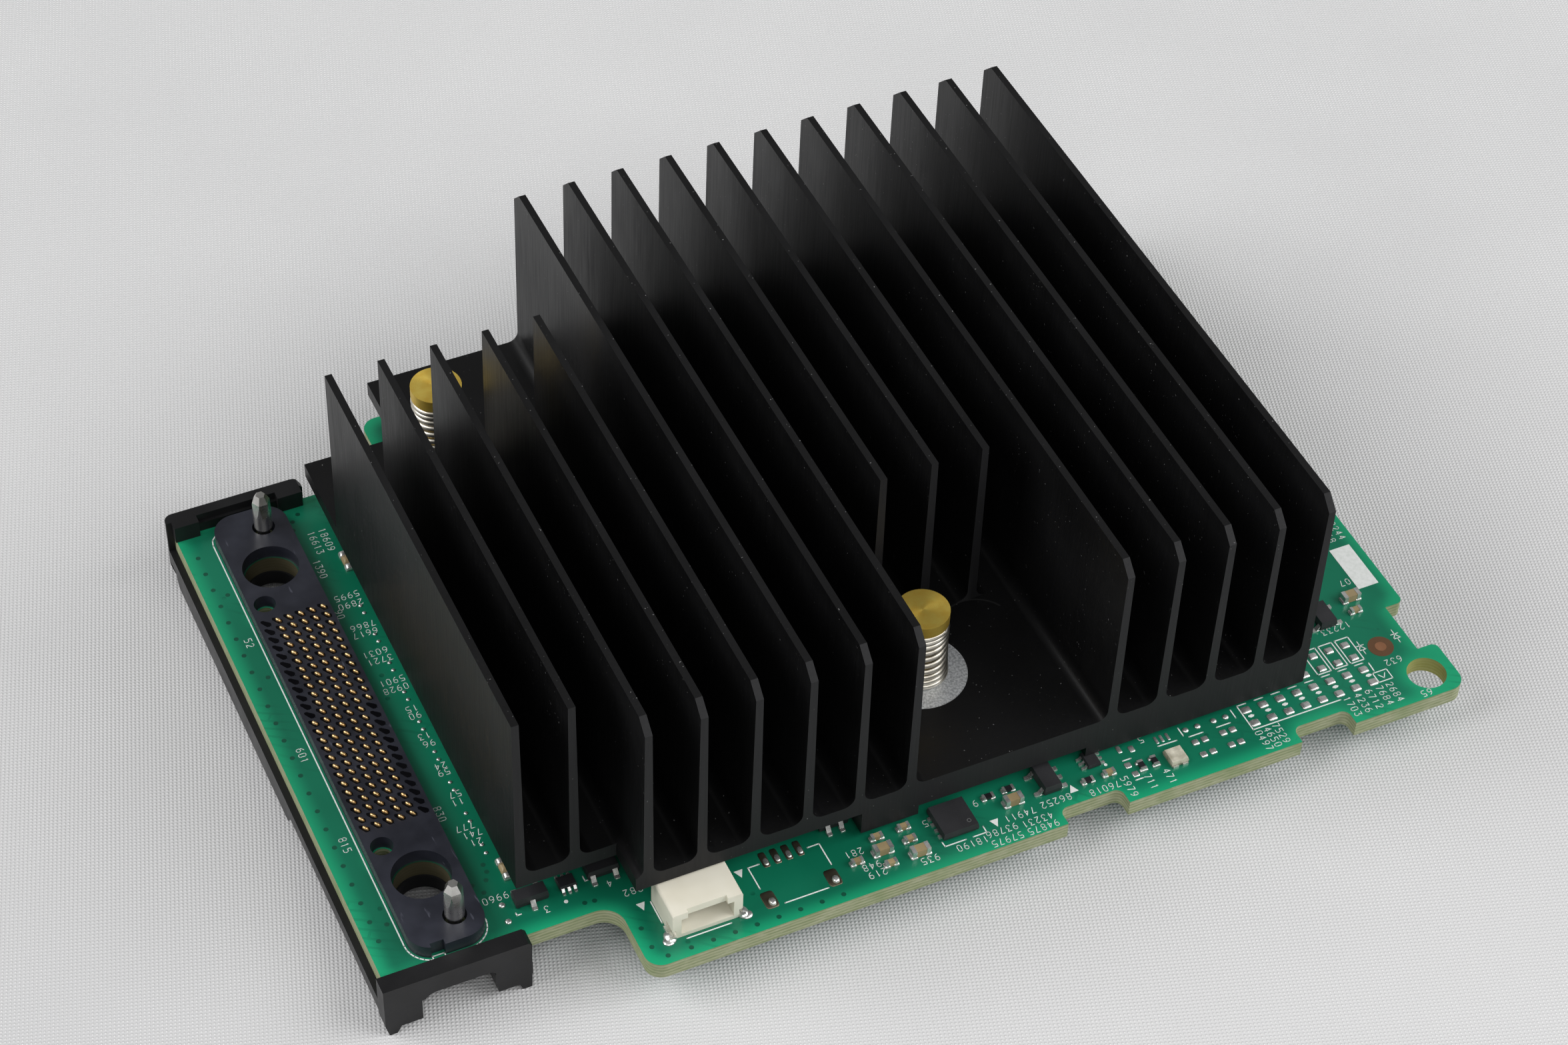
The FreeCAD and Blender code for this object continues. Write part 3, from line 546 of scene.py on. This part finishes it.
class Batch:
    """Small pieces of one material, gathered into one object."""

    def __init__(self, name, material, slot=None, smooth=False):
        self.name = name
        self.material = material
        self.slot = slot
        self.smooth = smooth
        self.mesh = bmesh.new()

    def row(self, points, z):
        """Mesh points at plan points and one height."""
        return [self.mesh.verts.new(at(x, y, z)) for x, y in points]

    def cap(self, row):
        self.mesh.faces.new(row)

    def wall(self, low, high):
        """Faces between two rows that close on themselves."""
        for k in range(len(low)):
            j = (k + 1) % len(low)
            self.mesh.faces.new((low[k], low[j], high[j], high[k]))

    def prism(self, points, z0, z1):
        """Upright prism on plan points, anticlockwise."""
        low = self.row(points, z0)
        high = self.row(points, z1)
        self.cap(low[::-1])
        self.cap(high)
        self.wall(low, high)

    def disc(self, x, y, r, z0, z1, sides):
        self.prism(circle(x, y, r, sides), z0, z1)

    def ring(self, x, y, r0, r1, z0, z1, sides=48):
        """Flat washer."""
        corners = ((r0, z0), (r1, z0), (r1, z1), (r0, z1))
        rows = [self.row(circle(x, y, r, sides), z) for r, z in corners]
        for low, high in zip(rows, rows[1:] + rows[:1]):
            self.wall(low, high)

    def stroke(self, points, width, z0=INK_Z[0], z1=INK_Z[1]):
        """Printed line: a bar for each length and a round joint at each point."""
        half = width / 2
        for (ax, ay), (bx, by) in zip(points, points[1:]):
            length = math.hypot(bx - ax, by - ay)
            if length < 1e-6:
                continue
            reach = length / 2
            corners = ((-reach, -half), (reach, -half), (reach, half), (-reach, half))
            turn = math.atan2(by - ay, bx - ax)
            self.prism(turned(corners, (ax + bx) / 2, (ay + by) / 2, turn), z0, z1)
        for x, y in points:
            self.disc(x, y, half, z0, z1, 10)

    def dome(self, x, y, rx, ry, height, power, corner, sides):
        """Low dome: the power sets how fast its rings close, the corner how square they are."""
        rows = []
        for i in range(DOME_RINGS):
            climb = (i / DOME_RINGS) * math.pi / 2
            shrink = math.cos(climb) ** power
            points = []
            for k in range(sides):
                t = 2 * math.pi * k / sides
                ct, st = math.cos(t), math.sin(t)
                points.append((x + rx * shrink * math.copysign(abs(ct) ** (2 / corner), ct),
                               y + ry * shrink * math.copysign(abs(st) ** (2 / corner), st)))
            rows.append(self.row(points, height * math.sin(climb)))
        tip = self.mesh.verts.new(at(x, y, height))
        self.cap(rows[0][::-1])
        for low, high in zip(rows, rows[1:]):
            self.wall(low, high)
        for k in range(sides):
            self.mesh.faces.new((rows[-1][k], rows[-1][(k + 1) % sides], tip))

    def blob(self, x, y, rx, ry, height, power=0.8):
        """Solder mound: half of a squashed ball."""
        self.dome(x, y, rx, ry, height, power, corner=2.0, sides=16)

    def pillow(self, x, y, w, d, height, corner=5.0):
        """Pad with a swollen coat of solder: a low dome on a rounded rectangle."""
        self.dome(x, y, w / 2, d / 2, height, power=0.6, corner=corner, sides=28)

    def make(self):
        bmesh.ops.recalc_face_normals(self.mesh, faces=self.mesh.faces)
        data = bpy.data.meshes.new(self.name)
        self.mesh.to_mesh(data)
        self.mesh.free()
        data.materials.append(MATERIALS[self.material])
        if self.smooth:
            for face in data.polygons:
                face.use_smooth = True
        obj = bpy.data.objects.new(self.name, data)
        bpy.context.scene.collection.objects.link(obj)
        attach(obj, "root")
        return obj


# ---------------------------------------------------------------- springs

SPRING_TURNS = 9.2
SPRING_WIRE = 0.27      # the wire's radius
SPRING_R = 1.96         # the coil's mean radius halfway up
SPRING_FLARE = 0.09     # how much wider it is at both ends
SPRING_START = -2.3     # the turn at which the wire starts, in radians
SPRING_CROWD = 0.035    # how far the end turns crowd together, as a share of the height
NEAR_LEAN = 0.22        # how far the near spring's foot is off its screw's axis
POINTS_A_TURN = 20


def make_springs():
    """Round-wire springs between the heights of the CAD's square ones."""
    _, _, low, _, _, high = mm_box("screw_springs")
    for index, (x, y) in enumerate(screw_places()):
        curve = bpy.data.curves.new("spring_%d" % (index + 1), "CURVE")
        curve.dimensions = "3D"
        curve.bevel_depth = SPRING_WIRE * MM
        curve.bevel_resolution = 4
        curve.use_fill_caps = True
        count = int(SPRING_TURNS * POINTS_A_TURN)
        spline = curve.splines.new("NURBS")
        spline.points.add(count)
        spline.order_u = 4
        spline.use_endpoint_u = True
        for k in range(count + 1):
            f = k / count
            t = 2 * math.pi * SPRING_TURNS * f + SPRING_START
            radius = SPRING_R + SPRING_FLARE * (2 * f - 1) ** 2
            climb = f - SPRING_CROWD * math.sin(2 * math.pi * f)
            z = low + SPRING_WIRE + (high - low - 2 * SPRING_WIRE) * climb
            lean = NEAR_LEAN * (1 - f) if index == 0 else 0.0
            place = at(x + lean + radius * math.cos(t), y + radius * math.sin(t), z)
            spline.points[k].co = (*place, 1)
        curve.materials.append(MATERIALS["spring_steel"])
        obj = bpy.data.objects.new("spring_%d" % (index + 1), curve)
        bpy.context.scene.collection.objects.link(obj)
        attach(obj, "root")
        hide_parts("screw_springs")


# ---------------------------------------------------------------- slots and contacts

ROWS = 25
COLUMNS = 6
HALF_ROWS = 12          # the rows that leave out the first column; the others leave out the last
SLOT_TURN = math.radians(-50)
SLOT_OUTLINE = (
    (-0.54, -0.06), (-0.42, -0.15), (0.05, -0.25), (0.28, -0.27), (0.44, -0.12),
    (0.44, 0.12), (0.28, 0.27), (0.05, 0.25), (-0.42, 0.15), (-0.54, 0.06),
)
CONTACT_SIDES = 12
# A contact's rings, from its foot up: offset along the slot, height, half width, half length.
CONTACT_RINGS = (
    (0.12, 0.75, 0.13, 0.30), (0.11, 1.2, 0.14, 0.32), (0.09, 1.38, 0.145, 0.31),
    (0.06, 1.5, 0.125, 0.25), (0.04, 1.56, 0.07, 0.14),
)


def slot_places():
    """Every slot's place, 1 mm apart both ways, and whether it holds a contact."""
    for row in range(ROWS):
        for column in range(COLUMNS):
            empty = column == 0 if row < HALF_ROWS else column == COLUMNS - 1
            yield (CONNECTOR_X + column - (COLUMNS - 1) / 2,
                   BOARD_W / 2 + (ROWS - 1) / 2 - row, not empty)


def make_slots():
    """Painted shade in the slots' mouths: long leaning black shapes on the housing's top."""
    top = mm_box("connector_housing")[5]
    batch = Batch("slot_mouth_shade", "painted_slot_shade", "connector_resin")
    for x, y, _ in slot_places():
        batch.prism(turned(SLOT_OUTLINE, x, y, SLOT_TURN), top - 0.01, top + 0.006)
    batch.make()


def make_contacts():
    """Each contact is a rounded beak that rises out of its slot and leans to one side."""
    batch = Batch("contact_tips", "gold_plate", "gold_plate", smooth=True)
    turns = [2 * math.pi * k / CONTACT_SIDES for k in range(CONTACT_SIDES)]
    for x, y, filled in slot_places():
        if not filled:
            continue
        rows = []
        for offset, z, wide, long in CONTACT_RINGS:
            oval = [(offset + long * math.cos(t), wide * math.sin(t)) for t in turns]
            rows.append(batch.row(turned(oval, x, y, SLOT_TURN), z))
        for low, high in zip(rows, rows[1:]):
            batch.wall(low, high)
        batch.cap(rows[0][::-1])
        batch.cap(rows[-1])
    obj = batch.make()
    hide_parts("connector_contacts")


def make_bare_ring():
    """The ring of bare metal, just above the sink's floor."""
    batch = Batch("screw_flat", "bare_aluminium", "black_anodised")
    batch.ring(*screw_places()[0], *BARE_R, *BARE_Z, 64)
    batch.make()


# ---------------------------------------------------------------- pads and solder

# The row of empty lights.
LIGHT_FIRST_X = 75.4
LIGHT_PITCH = 1.63
LIGHTS = 8
LIGHT_X = [LIGHT_FIRST_X + LIGHT_PITCH * k for k in range(LIGHTS)]

# The row of empty boxed parts nearer the ear.
BOXED_FIRST_X = 83.62
BOXED_PITCH = 1.58
BOXED_PARTS = 3
BOXED_X = [BOXED_FIRST_X + BOXED_PITCH * k for k in range(BOXED_PARTS)]

# The empty four-way cable footprint: its contacts' x, and its two anchors.
FOOTPRINT_X = (31.95, 32.95, 33.95, 34.95)
FOOTPRINT_ANCHORS = ((30.7, 2.57), (36.25, 2.6))

# Tinned pads of other parts that are left off: every x, every y, width, depth, height.
TINNED_PADS = (
    ((63.45,), (3.5,), 0.6, 0.62, 0.09),
    ((63.6,), (2.45,), 0.6, 0.62, 0.09),
    ((69.78, 70.67, 72.42, 73.31), (3.46, 2.05), 0.62, 0.62, 0.15),
    (LIGHT_X, (4.86, 3.35), 0.85, 0.75, 0.17),
    (BOXED_X, (7.87, 6.38), 0.8, 0.72, 0.17),
    ((81.93,), (6.32,), 0.8, 0.72, 0.17),
    ((66.89, 67.40, 67.96), (4.97,), 0.26, 0.8, 0.06),
    ((63.55,), (5.3,), 0.4, 0.8, 0.08),
    ((64.56,), (4.95,), 0.5, 0.7, 0.08),
)

# Solder mounds on empty footprints by the lights and by the connector.
MOUNDS = (
    (69.66, 4.95), (70.79, 4.94), (72.31, 4.92), (73.44, 4.90), (11.13, 10.45), (11.0, 8.75),
)
# The solder dots of the parts under the sink's left edge stand in pairs along the edge: the
# step from pair to pair, and the step between a pair's two dots.
DOT_X = 11.9
DOT_PAIRS = 9
DOT_FIRST_Y = 45.0
DOT_PAIR_STEP = 3.53
DOT_STEP = 0.9

SAME_SOLID = 1e-4       # boxes this near to each other are shells of one solid


def make_pads():
    """Tinned pads of the parts that are left off."""
    tin = Batch("bare_pads", "tin_plate", "tin_plate", smooth=True)
    dark = Batch("dull_pads", "dull_pad", "tin_plate", smooth=True)
    for x in FOOTPRINT_X:
        dark.pillow(x, 6.4, 0.62, 1.6, 0.06)
        tin.pillow(x + 0.04, 6.15, 0.44, 0.8, 0.16, corner=2.4)
    for x, y in FOOTPRINT_ANCHORS:
        dark.pillow(x, y, 1.15, 1.75, 0.07)
        tin.pillow(x + 0.1, y - 0.3, 0.62, 0.8, 0.3, corner=2.2)
    for xs, ys, wide, deep, high in TINNED_PADS:
        for x in xs:
            for y in ys:
                tin.pillow(x, y, wide, deep, high)
    tin.make()
    dark.make()


def joined(boxes):
    """Plan boxes, with those that touch or overlap grown into one."""
    out = []
    for box in boxes:
        merged = True
        while merged:
            merged = False
            for other in out:
                if (box[0] <= other[2] + SAME_SOLID and other[0] <= box[2] + SAME_SOLID
                        and box[1] <= other[3] + SAME_SOLID and other[1] <= box[3] + SAME_SOLID):
                    box = (min(box[0], other[0]), min(box[1], other[1]),
                           max(box[2], other[2]), max(box[3], other[3]))
                    out.remove(other)
                    merged = True
                    break
        out.append(box)
    return out


def pieces_of(node):
    """Plan boxes of the separate solids in one CAD node."""
    obj = nodes[node]
    mesh = bmesh.new()
    mesh.from_mesh(obj.data)
    mesh.verts.ensure_lookup_table()
    seen = set()
    boxes = []
    for start in mesh.verts:
        if start.index in seen:
            continue
        stack = [start]
        seen.add(start.index)
        points = []
        while stack:
            vert = stack.pop()
            points.append(obj.matrix_world @ vert.co)
            for edge in vert.link_edges:
                other = edge.other_vert(vert)
                if other.index not in seen:
                    seen.add(other.index)
                    stack.append(other)
        xs = [(point.x - X0) / MM for point in points]
        ys = [(point.y - Y0) / MM for point in points]
        boxes.append((min(xs), min(ys), max(xs), max(ys)))
    mesh.free()
    return joined(boxes)


def foot_solder(batch):
    """A low fillet at the foot of each two-ended part and each chip lead."""
    for node, spread, high in (("capacitor_terminals", 0.16, 0.3),
                               ("resistor_terminals", 0.14, 0.22)):
        for x0, y0, x1, y1 in pieces_of(node):
            batch.pillow((x0 + x1) / 2, (y0 + y1) / 2, x1 - x0 + 2 * spread, y1 - y0 + spread,
                         high * 0.8)
    for x0, y0, x1, y1 in pieces_of("chip_leads"):
        batch.pillow((x0 + x1) / 2, (y0 + y1) / 2, (x1 - x0) * 1.12, (y1 - y0) * 1.12, 0.1)


def make_solder():
    """Mounds on empty footprints, dots by the sink, tabs of the cable connector, and feet."""
    batch = Batch("solder_joints", "tin_plate", "tin_plate", smooth=True)
    for x, y in MOUNDS:
        batch.blob(x, y, 0.28, 0.28, 0.16)
    for pair in range(DOT_PAIRS):
        for step in (0.0, DOT_STEP):
            batch.blob(DOT_X, DOT_FIRST_Y - DOT_PAIR_STEP * pair - step, 0.19, 0.17, 0.13)
    x0, y0, _, x1, _, _ = mm_box("cable_connector_housing")
    for x, way in ((x0, -1), (x1, 1)):
        batch.blob(x + way * 0.1, y0 + 0.3, 0.52, 0.7, 0.42, power=1.6)
        batch.blob(x + way * 0.34, y0 - 0.05, 0.5, 0.45, 0.18)
    foot_solder(batch)
    batch.make()


# ---------------------------------------------------------------- printing

# Plain figures as pen strokes on a grid 4 wide and 6 high.
FIGURES = {
    "0": ((0, 1), (0, 5), (1, 6), (3, 6), (4, 5), (4, 1), (3, 0), (1, 0), (0, 1)),
    "1": ((1, 5), (2, 6), (2, 0)),
    "2": ((0, 5), (1, 6), (3, 6), (4, 5), (4, 4), (0, 0), (4, 0)),
    "3": ((0, 6), (4, 6), (2, 3.6), (3, 3.6), (4, 2.6), (4, 1), (3, 0), (1, 0), (0, 1)),
    "4": ((3, 0), (3, 6), (0, 2), (4, 2)),
    "5": ((4, 6), (0, 6), (0, 3.5), (3, 3.5), (4, 2.5), (4, 1), (3, 0), (0, 0)),
    "6": ((3, 6), (1, 5), (0, 3), (0, 1), (1, 0), (3, 0), (4, 1), (4, 2.5), (3, 3.4), (0, 3)),
    "7": ((0, 6), (4, 6), (1.5, 0)),
    "8": ((1, 3.2), (0, 4), (0, 5), (1, 6), (3, 6), (4, 5), (4, 4), (3, 3.2), (1, 3.2), (0, 2),
          (0, 1), (1, 0), (3, 0), (4, 1), (4, 2), (3, 3.2)),
    "9": ((1, 0), (3, 1), (4, 3), (4, 5), (3, 6), (1, 6), (0, 5), (0, 3.6), (1, 2.6), (4, 3)),
}
FIGURE_HIGH = 0.62
FIGURE_NARROW = 0.78    # a square of a figure's grid is this wide for a height of 1
FIGURE_PITCH = 0.585
FIGURE_INK = 0.06       # a pen stroke's width
FIGURE_Z = (0.0, 0.018)
FIGURE_SEED = 7

# Printed numbers: where each starts, which way it runs in degrees, how many figures.
BY_CONNECTOR = (
    (1.9, 45.1, -90, 2), (1.9, 32.0, -90, 3), (1.9, 21.8, -90, 3), (9.95, 45.2, -90, 2),
    (9.95, 21.8, -90, 3), (10.9, 54.8, -90, 5), (11.9, 54.8, -90, 5), (10.2, 51.4, -90, 4),
    (11.95, 11.3, 180, 4), (14.4, 8.7, 180, 1), (21.9, 7.7, 180, 3), (19.9, 9.1, 180, 1),
    (21.7, 9.0, 180, 1),
)
BY_SMALL_PARTS = (
    (39.6, 4.17, 180, 3), (40.35, 2.42, 180, 3), (40.45, 1.55, 180, 3), (44.95, 1.17, 180, 3),
    (49.35, 1.25, 180, 5), (52.15, 1.52, 180, 5), (52.15, 0.52, 180, 5), (55.3, 1.35, 180, 5),
    (55.4, 0.5, 180, 5), (54.25, 2.4, 180, 5), (57.6, 2.52, 180, 5), (61.9, 2.1, 180, 5),
    (50.25, 4.89, 180, 1), (45.6, 4.61, 180, 1), (65.9, 5.5, 180, 1), (62.5, 2.55, -90, 4),
    (64.4, 2.0, -90, 3), (66.1, 1.9, -90, 3), (75.15, 2.45, -90, 4), (76.0, 2.5, -90, 4),
    (76.85, 2.6, -90, 4),
)
BY_EAR = (
    (83.85, 2.75, -90, 4), (84.9, 2.75, -90, 4), (85.95, 2.75, -90, 4), (87.0, 2.75, -90, 4),
    (88.0, 2.75, -90, 4), (90.85, 0.55, 180, 2), (90.45, 4.75, 180, 3), (88.4, 9.87, 180, 5),
    (91.05, 14.2, 180, 2), (93.2, 20.9, -90, 4), (92.2, 20.9, -90, 4),
)
# Rows of figures beside the sink: each one's middle line and left end.
BY_SINK = (
    (46.49, 9.9), (45.46, 9.9), (42.74, 10.0), (41.86, 9.9), (39.48, 9.9), (38.54, 10.0),
    (35.95, 10.1), (35.01, 10.1), (32.43, 11.1), (31.62, 11.1), (29.25, 11.0), (28.35, 11.1),
    (25.73, 11.1), (25.0, 11.1), (22.49, 11.1), (21.63, 11.0), (18.97, 10.3), (18.1, 10.6),
    (17.2, 10.9),
)
SINK_ROWS_END = 12.6    # they end here, just under the sink's left edge

INK_W = 0.105
THIN_INK_W = 0.08
# Lines round the cable connector, the empty footprints and the small chips.
PART_LINES = (
    ((22.0, 6.14), (22.0, 3.85)), ((23.2, 1.68), (27.0, 1.68)), ((28.25, 4.2), (28.25, 6.1)),
    ((31.4, 6.15), (30.43, 6.15), (30.45, 3.86)), ((35.66, 6.15), (36.68, 6.16), (36.70, 3.85)),
    ((31.7, 1.8), (35.5, 1.8)), ((45.82, 2.35), (45.86, 1.85), (47.74, 1.85)),
    ((49.6, 2.5), (49.6, 1.85), (48.4, 1.85)), ((66.73, 4.32), (68.46, 4.28)),
    ((69.2, 5.4), (69.2, 4.5)), ((69.6, 4.2), (70.9, 4.2)), ((72.2, 4.2), (73.5, 4.2)),
    ((74.2, 5.4), (74.2, 4.5)), ((63.28, 4.08), (64.03, 4.08)), ((63.3, 1.85), (63.98, 1.85)),
    ((63.4, 5.9), (63.8, 5.9)), ((18.05, 10.6), (18.05, 10.1), (18.3, 10.1)),
    ((11.85, 9.3), (11.85, 9.05), (12.2, 9.05)),
)
# Pin-one triangles: middle, and 1 where they point away from the near edge.
TRIANGLES = ((21.2, 6.0, -1), (29.6, 5.9, -1), (58.1, 3.1, 1), (50.7, 2.45, -1))
# A box round a boxed part: the first one's left side, the step to the next, its width, and
# its near and far sides.
BOX_FIRST_X = 82.97
BOX_PITCH = 1.62
BOX_WIDE = 1.3
BOX_Y = (5.88, 8.64)
# The mark between a light's pads: its points' x from its middle, and their y.
LIGHT_MARK_X = 0.1      # its middle, from the light's x
LIGHT_MARK = ((-0.3, 4.16), (-0.1, 4.0), (0.2, 4.05), (0.3, 4.18), (0.1, 4.32), (-0.2, 4.28))


def number(batch, text, x, y, turn):
    """Printed number whose middle line starts at (x, y) and runs along the turned X axis."""
    unit = FIGURE_HIGH / 6
    for k, figure in enumerate(text):
        points = [(a * FIGURE_NARROW * unit + k * FIGURE_PITCH, (b - 3) * unit)
                  for a, b in FIGURES[figure]]
        batch.stroke(turned(points, x, y, math.radians(turn)), FIGURE_INK, *FIGURE_Z)


def make_numbers():
    """Made-up numbers in the places of the real card's part references."""
    batch = Batch("printed_numbers", "printing")
    rng = random.Random(FIGURE_SEED)

    def figures(count):
        return "".join(str(rng.randint(0, 9)) for _ in range(count))

    for x, y, turn, count in BY_CONNECTOR + BY_SMALL_PARTS + BY_EAR:
        number(batch, figures(count), x, y, turn)
    for y, left in BY_SINK:
        count = int((SINK_ROWS_END - left) / FIGURE_PITCH)
        number(batch, figures(count), left + FIGURE_PITCH * count, y, 180)
    batch.make()


def print_connector_outline(ink):
    """The line round the compression connector, and the box at its key notch."""
    x0, y0, _, x1, y1, _ = mm_box("connector_housing")
    gap = 0.22
    right_gap = 0.15
    r = 2.2
    line = [(x0 + 0.35, y1 - 0.6), (x0 - 0.1, y1 - 1.1), (x0 - gap, y1 - 1.7)]
    line += quarter(x0 - gap + r, y0 - gap + r, r, math.pi)
    line += quarter(x1 + right_gap - r, y0 - gap + r, r, 1.5 * math.pi)
    ink.stroke(line, INK_W)
    ink.stroke([(4.35, y0 - gap), (4.35, y0 + 0.18), (5.35, y0 + 0.18), (5.35, y0 - gap)], 0.1)


def print_lights(ink):
    """The row of empty lights, with a bar and a mark for each, and the boxed parts' boxes."""
    ink.stroke([(74.9, 5.5), (74.9, 2.77), (83.3, 2.74)], INK_W)
    for x in LIGHT_X:
        ink.stroke([(x - 0.45, 5.56), (x + 0.35, 5.56)], INK_W)
        ink.prism([(x + LIGHT_MARK_X + a, b) for a, b in LIGHT_MARK], *INK_Z)
    near, far = BOX_Y
    for k in range(BOXED_PARTS):
        left = BOX_FIRST_X + BOX_PITCH * k
        right = left + BOX_WIDE
        ink.stroke([(left, near), (right, near), (right, far), (left, far), (left, near)], INK_W)


def print_by_ear(ink):
    """The marks between the lights and the ear, and the paper-white patch."""
    ink.stroke([(87.62, 5.35), (87.58, 4.4)], INK_W)
    ink.stroke([(87.3, 4.2), (88.65, 4.2), (88.65, 3.12), (87.3, 3.12), (87.3, 4.2)], 0.09)
    ink.stroke([(87.65, 3.9), (87.98, 3.4), (88.3, 3.9)], THIN_INK_W)
    for x in (87.95, 91.37):
        ink.stroke([(x, 6.35), (x, 6.85)], THIN_INK_W)
        ink.stroke([(x, 7.35), (x, 7.85)], THIN_INK_W)
        ink.stroke([(x - 0.35, 7.35), (x + 0.35, 7.35)], THIN_INK_W)
        ink.stroke([(x - 0.32, 6.85), (x + 0.32, 6.85), (x, 7.3), (x - 0.32, 6.85)], THIN_INK_W)
    ink.prism([(91.3, 13.05), (93.3, 13.05), (93.3, 18.0), (91.3, 18.0)], *INK_Z)


def make_printing():
    """White outlines, triangles and dots."""
    ink = Batch("printed_lines", "printing")
    print_connector_outline(ink)
    for points in PART_LINES:
        ink.stroke(points, INK_W)
    for x, y, way in TRIANGLES:
        ink.prism([(x - 0.38 * way, y - 0.34 * way), (x + 0.38 * way, y - 0.34 * way),
                   (x, y + 0.45 * way)], *INK_Z)
    for x, y, r in ((15.9, 8.8, 0.17), (61.8, 4.3, 0.14)):
        ink.disc(x, y, r, *INK_Z, 24)
    print_lights(ink)
    print_by_ear(ink)
    ink.make()


# ---------------------------------------------------------------- small marks and parts

VIA_R = 0.21
LEFT_VIAS = [(1.05, 55.66 - 2.03 * k) for k in range(23)]       # down the left edge
NEAR_VIAS = [(23.16 + 1.88 * k, 0.75) for k in range(8)]        # along the near edge
LOOSE_VIAS = [
    (2.0, 50.6), (2.1, 40.4), (2.2, 12.3), (11.25, 14.84), (11.26, 14.06), (20.29, 4.01),
    (20.34, 2.01), (21.18, 0.75), (17.2, 8.1), (18.0, 8.0),
]
PORT_VIAS = [(9.9, 56.6), (10.6, 57.3), (9.6, 55.6), (9.7, 13.2), (10.3, 12.2), (10.9, 13.3)]

# Two parts reach out from under the sink's left edge: their middles, and how far from there
# the middle of each plated end is.
EDGE_PARTS = ((12.62, 50.3), (12.66, 13.7))
EDGE_PART_END = 0.78


def make_marks():
    """The fiducial mark, a copper dot in a ring of bare laminate, and the vias."""
    copper = Batch("fiducial_dot", "copper")
    copper.disc(*FIDUCIAL, 0.5, *FLAT_Z, 24)
    copper.make()
    port_wall_shade = Batch("fiducial_ring", "brown_laminate", "solder_mask")
    port_wall_shade.ring(*FIDUCIAL, 0.5, 1.12, -0.02, 0.012)
    port_wall_shade.make()
    vias = Batch("vias", "dark_via", "solder_mask")
    for x, y in LEFT_VIAS + LOOSE_VIAS + NEAR_VIAS + PORT_VIAS:
        vias.disc(x, y, VIA_R, -0.01, 0.006, 14)
    vias.make()


def make_edge_parts():
    """The slivers of two parts that show at the sink's left edge, as whole small parts."""
    bodies = Batch("edge_parts", "capacitor_ceramic", "capacitor_ceramic", smooth=True)
    ends = Batch("edge_part_ends", "tin_plate", "tin_plate", smooth=True)
    for x, y in EDGE_PARTS:
        bodies.pillow(x, y, 0.85, 0.95, 0.5, corner=9.0)
        for way in (-1, 1):
            ends.pillow(x, y + EDGE_PART_END * way, 0.95, 0.7, 0.46, corner=7.0)
    bodies.make()
    ends.make()


def make_pin_one():
    """The small ring in one corner of the power switch's top."""
    _, y0, _, x1, _, top = mm_box("power_switch_body")
    inset = 0.65
    mark = Batch("pin_one_mark", "chip_mark", "chip_resin")
    mark.ring(x1 - inset, y0 + inset, 0.13, 0.19, top - 0.01, top + 0.012, 24)
    mark.make()


# ---------------------------------------------------------------- floor and light

FLOOR_REACH = 3.0           # metres
FLOOR_GAP = 0.00002         # keeps the floor just clear of the bracket's feet
LAMP_AIM = Vector((0.0, 0.0, 0.01))
# Name, place in metres, width and height in metres, watts.
LAMPS = (
    ("left", (-1.1, 0.35, 0.95), (1.1, 0.9), 16.5),
    ("fill", (1.25, -0.35, 0.5), (1.3, 0.8), 7.0),
    ("right", (0.75, -0.55, 0.85), (0.9, 0.7), 8.0),
    ("front", (-0.25, -0.9, 1.0), (0.9, 0.6), 5.0),
)
WORLD_LIGHT = 0.22


def make_stage():
    """A flat floor of pale cloth."""
    low = cad_lo.z - FLOOR_GAP
    data = bpy.data.meshes.new("ground")
    corners = ((-1, -1), (1, -1), (1, 1), (-1, 1))
    data.from_pydata([(a * FLOOR_REACH, b * FLOOR_REACH, low) for a, b in corners], [],
                     [(0, 1, 2, 3)])
    data.materials.append(cloth())
    floor = bpy.data.objects.new("ground", data)
    bpy.context.scene.collection.objects.link(floor)


def make_light():
    """A dim white world and four soft lamps that face the card."""
    world = bpy.data.worlds.new("world")
    world.use_nodes = True
    background = world.node_tree.nodes["Background"]
    background.inputs["Color"].default_value = (1.0, 1.0, 1.0, 1)
    background.inputs["Strength"].default_value = WORLD_LIGHT
    bpy.context.scene.world = world
    for name, place, (wide, high), power in LAMPS:
        data = bpy.data.lights.new(name, "AREA")
        data.shape = "RECTANGLE"
        data.size = wide
        data.size_y = high
        data.energy = power
        lamp = bpy.data.objects.new(name, data)
        lamp.location = place
        lamp.rotation_mode = "QUATERNION"
        lamp.rotation_quaternion = (LAMP_AIM - Vector(place)).to_track_quat("-Z", "Y")
        bpy.context.scene.collection.objects.link(lamp)


# ---------------------------------------------------------------- the scene

make_camera()
dress_cad()
make_springs()
make_slots()
make_contacts()
make_bare_ring()
make_pads()
make_solder()
make_numbers()
make_printing()
make_marks()
make_edge_parts()
make_pin_one()
make_stage()
make_light()

scene = bpy.context.scene
scene.view_settings.view_transform = "Standard"

bpy.context.view_layer.update()
